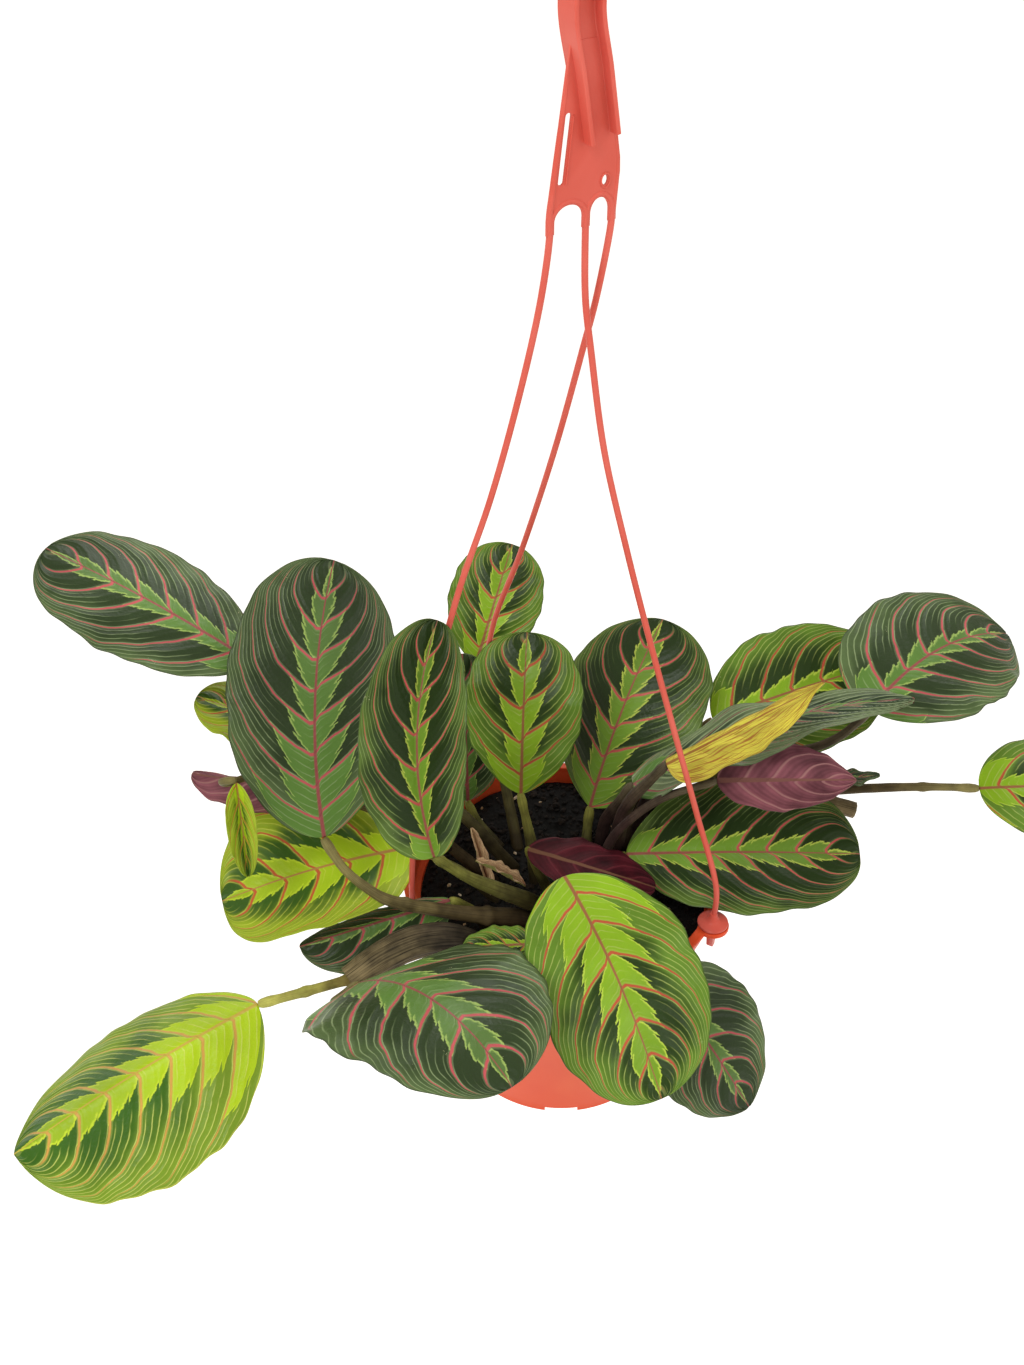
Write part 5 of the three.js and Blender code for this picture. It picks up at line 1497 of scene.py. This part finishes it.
@dataclass
class Hanger:
    """The one-piece moulded hanger: hook, ribbed stem, flat plate, three legs and their clips."""

    turn: float = 33.0
    plate_z: float = RIM_Z + 326
    half: float = 14.5
    plate_thickness: float = 1.3
    web_thickness: float = 0.9
    shoulder_z: float = RIM_Z + 348
    wing_top_z: float = RIM_Z + 381
    spacing: float = 12.6
    flange: float = 1.7
    depth: float = 10.5
    hook_z: float = RIM_Z + 436
    hook_radius: float = 20.0
    leg_radius: float = 1.3
    middle: float = 2.0
    routes: dict[float, list[Point]] = field(default_factory=lambda: {
        -28.0: [(1.7, 1.1, 316), (2.4, 0, 290), (5, -2.5, 270), (11, -7, 231), (21, -13, 190), (33, -21, 146),
                (45, -28, 104), (56, -32, 65)],
        122.0: [(11.1, 7.2, 316), (7, 7.5, 288), (2.5, 10, 265), (-7, 20, 216), (-20, 36, 157), (-33, 51, 105),
                (-38, 60, 60)],
        205.0: [(-11.1, -7.2, 316), (-14, -7, 292), (-22, -8.5, 253), (-32.5, -13, 213), (-46, -18, 171),
                (-57, -23, 125), (-65, -29, 75)],
    })
    clip_circle: float = 76.5
    disc_radius: float = 7.0
    boss_sides: int = 40
    crease: float = 40.0

    def place(self, u: np.ndarray, z: np.ndarray, n: np.ndarray) -> np.ndarray:
        """Puts plate coordinates into the part's frame.

        Args:
            u: across the plate.
            z: height.
            n: out of the plate.

        Returns:
            Points with a last axis of 3.
        """
        a = math.radians(self.turn)
        return np.stack([u * math.cos(a) + n * math.sin(a), u * math.sin(a) - n * math.cos(a), z], axis=-1)

    def hook_line(self) -> np.ndarray:
        """Centre line of the stem and hook in the plate's plane.

        Returns:
            Across and height pairs.
        """
        points = [(6.2, self.shoulder_z), (2.3, self.shoulder_z + 22), (-1.9, self.shoulder_z + 45),
                  (1.5, self.hook_z - 28), (12, self.hook_z - 17)]
        for angle in range(-20, 201, 20):
            a = math.radians(angle)
            points.append((self.hook_radius * math.cos(a), self.hook_z + self.hook_radius * math.sin(a)))
        path, _ = spline([(u, 0.0, z, 0.0) for u, z in points], 110)
        return path[:, [0, 2]]

    def stem(self) -> Shell:
        """Sweeps the H-shaped section up the stem and round the hook.

        Returns:
            Points and faces.
        """
        h, f, d, w, r = self.spacing / 2, self.flange, self.depth / 2, self.web_thickness / 2, 0.4
        quarter = [(h, -d + r), (h, d - r), (h - r, d), (h - f + r, d), (h - f, d - r), (h - f, w + r),
                   (h - f - r, w)]
        section = quarter + [(-u, n) for u, n in reversed(quarter)]
        section += [(-u, -n) for u, n in quarter[2:]] + [(u, -n) for u, n in reversed(quarter[2:])]
        line = self.hook_line()
        tangent = np.gradient(line, axis=0)
        tangent /= np.linalg.norm(tangent, axis=1, keepdims=True)
        points = []
        for (u, z), (tu, tz) in zip(line, tangent):
            offset = np.array([s[0] for s in section])
            out = np.array([s[1] for s in section])
            points.append(self.place(u + tz * offset, z - tu * offset, out))
        return np.vstack(points), ring_faces(len(line), len(section))

    def plate_outline(self) -> tuple[list[tuple[float, float]], list[list[tuple[float, float]]]]:
        """Outline of the flat plate and its two openings, in the plate's plane.

        Returns:
            The outline, then the slot and the eye.
        """
        half, z = self.half, self.plate_z
        root, deep = self.leg_radius, 5.5
        spread = half - root
        outline = [(-half, z - 9), (-half, z - 4), (-6.1, self.wing_top_z), (4.8, self.wing_top_z),
                   (half - 2.3, self.shoulder_z + 2), (half - 0.9, self.shoulder_z + 1.5), (half + 0.9, z + 13),
                   (half + 1.1, z + 8), (half, z - 3), (half, z - 9)]
        for low, high in ((self.middle, spread), (-spread, self.middle)):
            mid, width = (low + high) / 2, (high - low) / 2 - root
            outline.append((high - root, z - 9))
            outline += [(mid + width * math.cos(a), z - 5 + deep * math.sin(a)) for a in np.linspace(0, math.pi, 21)]
            outline.append((low + root, z - 9))
        slot = []
        for (cx, cz), (low, high) in (((-9.2, z + 9), (180, 360)), ((-6.6, z + 31), (0, 180))):
            slot += [(cx + 1.5 * math.cos(math.radians(a)), cz + 1.5 * math.sin(math.radians(a)))
                     for a in np.linspace(low, high, 9)]
        eye = [(9.5 + 1.5 * math.cos(a), z + 6 + 2.1 * math.sin(a)) for a in np.linspace(0, 2 * math.pi, 24)[:-1]]
        return outline, [slot, eye]

    def plate(self) -> Shell:
        """Fills the plate's outline and gives it softly rounded edges.

        Returns:
            Points and faces.
        """
        outline, holes = self.plate_outline()
        curve = bpy.data.curves.new("plate", "CURVE")
        curve.dimensions, curve.fill_mode = "2D", "BOTH"
        curve.extrude, curve.bevel_depth, curve.bevel_resolution = self.plate_thickness / 2 - 0.3, 0.3, 2
        for ring in [outline] + holes:
            line = curve.splines.new("POLY")
            line.points.add(len(ring) - 1)
            for point, (u, z) in zip(line.points, ring):
                point.co = (u, z, 0, 1)
            line.use_cyclic_u = True
        holder = bpy.data.objects.new("plate", curve)
        bpy.context.scene.collection.objects.link(holder)
        mesh = bpy.data.meshes.new_from_object(holder.evaluated_get(bpy.context.evaluated_depsgraph_get()))
        flat = np.array([v.co[:] for v in mesh.vertices])
        faces = [tuple(p.vertices) for p in mesh.polygons]
        bpy.data.objects.remove(holder)
        return self.place(flat[:, 0], flat[:, 1], flat[:, 2]), faces

    def beads(self) -> list[Shell]:
        """The raised beads along the plate's edges, the slot, the arches and the eye.

        Returns:
            Points and faces of each bead.
        """
        z, half, bead = self.plate_z, self.half, self.leg_radius
        spread = half - bead
        left = [(-spread, z - 9), (-half + 1.0, z - 3), (-half + 2.1, z + 6), (-9.5, z + 27), (-5.4, self.wing_top_z)]
        right = [(spread, z - 9), (half - 0.6, z - 3), (half + 0.3, z + 8), (half + 0.1, z + 13),
                 (half - 1.7, self.shoulder_z + 1)]
        slot_side = [(-7.3, z + 8), (-4.7, z + 31)]
        made = [self.bead(left, (bead, 1.25, 1.15, 1.0, 0.5)), self.bead(right, (bead, 1.15, 1.0, 0.9, 0.8)),
                self.bead(slot_side, (0.35, 0.35), 0.75)]
        for low, high in ((self.middle, spread), (-spread, self.middle)):
            mid, width = (low + high) / 2, (high - low) / 2
            arch = [(mid + width * math.cos(a), z - 5.4 + 6.8 * math.sin(a)) for a in np.linspace(0, math.pi, 13)]
            line = [(high, z - 10)] + arch + [(low, z - 10)]
            made.append(self.bead(line, [bead] * 3 + [1.15] * 9 + [bead] * 3))
        around = [(9.5 + 1.9 * math.cos(a), z + 6 + 2.5 * math.sin(a)) for a in np.linspace(0, 2 * math.pi, 17)]
        made.append(self.bead(around, [0.35] * 17, 0.8))
        return made

    def bead(self, line: Sequence[tuple[float, float]], radii: Sequence[float],
             lift: float = 0.0) -> Shell:
        """A raised bead that follows a line in the plate's plane.

        Args:
            line: across and height pairs.
            radii: the bead's radius at each of them.
            lift: how far it stands out of the plate.

        Returns:
            Points and faces.
        """
        stations = [(*self.place(u, v, lift), r) for (u, v), r in zip(line, radii)]
        return self.swept(stations, 12, 60)

    def swept(self, stations: Sequence[Station], sides: int, count: int) -> Shell:
        """A round rod through stations of the part's frame.

        Args:
            stations: points with a radius each.
            sides: points round it.
            count: rings along it.

        Returns:
            Points and faces.
        """
        path, radii = spline(stations, count)
        across, beside = swept_rings(path)
        angle = 2 * np.pi * np.arange(sides) / sides
        points = (path[:, None, :] + across[:, None, :] * (radii[:, None] * np.cos(angle))[..., None]
                  + beside[:, None, :] * (radii[:, None] * np.sin(angle))[..., None])
        return points.reshape(-1, 3), ring_faces(count, sides)

    def leg(self, angle: float, route: list[Point]) -> list[Shell]:
        """One leg with its stop disc, collar, neck and barb.

        Args:
            angle: where its clip stands on the rim.
            route: the leg's line, with heights above the rim.

        Returns:
            The shells it is made of.
        """
        x = self.clip_circle * math.cos(math.radians(angle))
        y = self.clip_circle * math.sin(math.radians(angle))
        line = [(px, py, pz + RIM_Z) for px, py, pz in route]
        top = (line[0][0], line[0][1], line[0][2] + 5.0)
        line = [top] + line + [(x, y, RIM_Z + 22), (x, y, RIM_Z + 1)]
        shells = [self.swept([(*point, self.leg_radius) for point in line], 16, 120)]
        rings = [(self.disc_radius - 0.5, 0.3), (self.disc_radius, 0.7), (self.disc_radius, 1.6),
                 (self.disc_radius - 0.5, 2.1), (3.6, 2.4), (2.6, 3.4), (1.9, 5.2), (1.6, 7.0)]
        shells.append(self.turned(x, y, rings))
        under = -2.5
        shells.append(self.turned(x, y, [(2.0, under - 2), (2.1, under - 1.6), (2.1, 0.6), (1.8, 1.0)]))
        a = math.radians(angle + 90)
        section = [(-3.5, under), (-3.2, under - 1.2), (-1.6, under - 10.4), (-1.2, under - 11), (1.2, under - 11),
                   (1.6, under - 10.4), (3.2, under - 1.2), (3.5, under)]
        points = []
        for n, shrink in ((-1.5, 0.88), (-1.1, 1.0), (1.1, 1.0), (1.5, 0.88)):
            points += [(x + u * shrink * math.cos(a) - n * math.sin(a),
                        y + u * shrink * math.sin(a) + n * math.cos(a), RIM_Z + v) for u, v in section]
        shells.append((np.array(points), [tuple(reversed(f)) for f in ring_faces(4, len(section))]))
        return shells

    def turned(self, x: float, y: float, rings: list[tuple[float, float]]) -> Shell:
        """A round boss from radii and heights above the rim.

        Args:
            x: centre.
            y: centre.
            rings: radius and height pairs, from the bottom up.

        Returns:
            Points and faces.
        """
        angles = 2 * np.pi * np.arange(self.boss_sides) / self.boss_sides
        points = [(x + r * math.cos(a), y + r * math.sin(a), RIM_Z + z) for r, z in rings for a in angles]
        return np.array(points), ring_faces(len(rings), self.boss_sides)

    def build(self) -> bpy.types.Object:
        """Builds, dresses and registers the whole moulding.

        Returns:
            The hanger.
        """
        shells = [self.stem(), self.plate()] + self.beads()
        for angle, route in self.routes.items():
            shells += self.leg(angle, route)
        points, faces, first = [], [], 0
        for shell_points, shell_faces in shells:
            points.append(shell_points)
            faces += [tuple(c + first for c in face) for face in shell_faces]
            first += len(shell_points)
        obj = make_object("hanger_moulding", np.vstack(points), faces)
        shape = bmesh.new()
        shape.from_mesh(obj.data)
        bmesh.ops.recalc_face_normals(shape, faces=shape.faces)
        shape.to_mesh(obj.data)
        shape.free()
        obj.data.set_sharp_from_angle(angle=math.radians(self.crease))
        obj.data.materials.append(skin_of(HANGER_PLASTIC))
        piece(obj, "moulded_plastic", "hanger_head", "hanger_leg_front_right", "hanger_leg_rear", "hanger_leg_left")
        return obj


# ---------------------------------------------------------------- studio


@dataclass
class Studio:
    """White sweep, soft lights and the camera."""

    camera_at: Point = (-24.2, -541.0, 653.0)
    look_down: float = 38.39
    lens: float = 42.2
    sensor: float = 36.0
    floor_z: float = -1100.0
    floor_half: float = 9000.0
    sky: str = "#fff7e8"
    sky_strength: float = 0.55

    def lamp(self, name: str, at: Point, size: float, power: float, aim: Point = (0.0, 0.0, 180.0)) -> None:
        """Adds a soft square lamp.

        Args:
            name: the lamp's name.
            at: where it stands.
            size: its side.
            power: in watts.
            aim: what it points at.
        """
        light = bpy.data.lights.new(name, "AREA")
        light.energy, light.size = power, size * MM
        lamp = bpy.data.objects.new(name, light)
        lamp.location = Vector(at) * MM
        lamp.rotation_euler = (Vector(aim) - Vector(at)).to_track_quat("-Z", "Y").to_euler()
        bpy.context.scene.collection.objects.link(lamp)

    def build(self) -> None:
        """Builds the floor, lights, sky and camera."""
        scene = bpy.context.scene
        half = self.floor_half
        floor = make_object("studio_floor", np.array([(-half, -half, self.floor_z), (half, -half, self.floor_z),
                                                      (half, half, self.floor_z), (-half, half, self.floor_z)]),
                            [(0, 1, 2, 3)], smooth=False)
        floor.data.materials.append(skin_of(SWEEP))
        world = bpy.data.worlds.new("soft sky")
        world.use_nodes = True
        background = world.node_tree.nodes["Background"]
        background.inputs["Color"].default_value = linear(self.sky)
        background.inputs["Strength"].default_value = self.sky_strength
        scene.world = world
        self.lamp("key", (-700, -900, 1500), 900, 16)
        self.lamp("fill", (1100, -500, 900), 900, 5)
        self.lamp("back", (200, 1200, 1100), 800, 6)
        data = bpy.data.cameras.new("camera")
        data.lens, data.sensor_width, data.sensor_fit = self.lens, self.sensor, "AUTO"
        data.clip_start, data.clip_end = 0.01, 60.0
        camera = bpy.data.objects.new("camera", data)
        camera.location = Vector(self.camera_at) * MM
        camera.rotation_euler = (math.radians(90 - self.look_down), 0.0, 0.0)
        scene.collection.objects.link(camera)
        scene.camera = camera
        scene.view_settings.view_transform = "Standard"
        scene.view_settings.look = "None"


def main() -> None:
    """Builds every sub-assembly in order."""
    logging.basicConfig(level=logging.INFO, format="%(name)s %(message)s")
    Studio().build()
    Pot().build()
    MixBed().build()
    Hanger().build()
    for leaf in LEAVES:
        leaf.build()
    for stalk in STALKS:
        stalk.build()


if __name__ == "__main__":
    main()
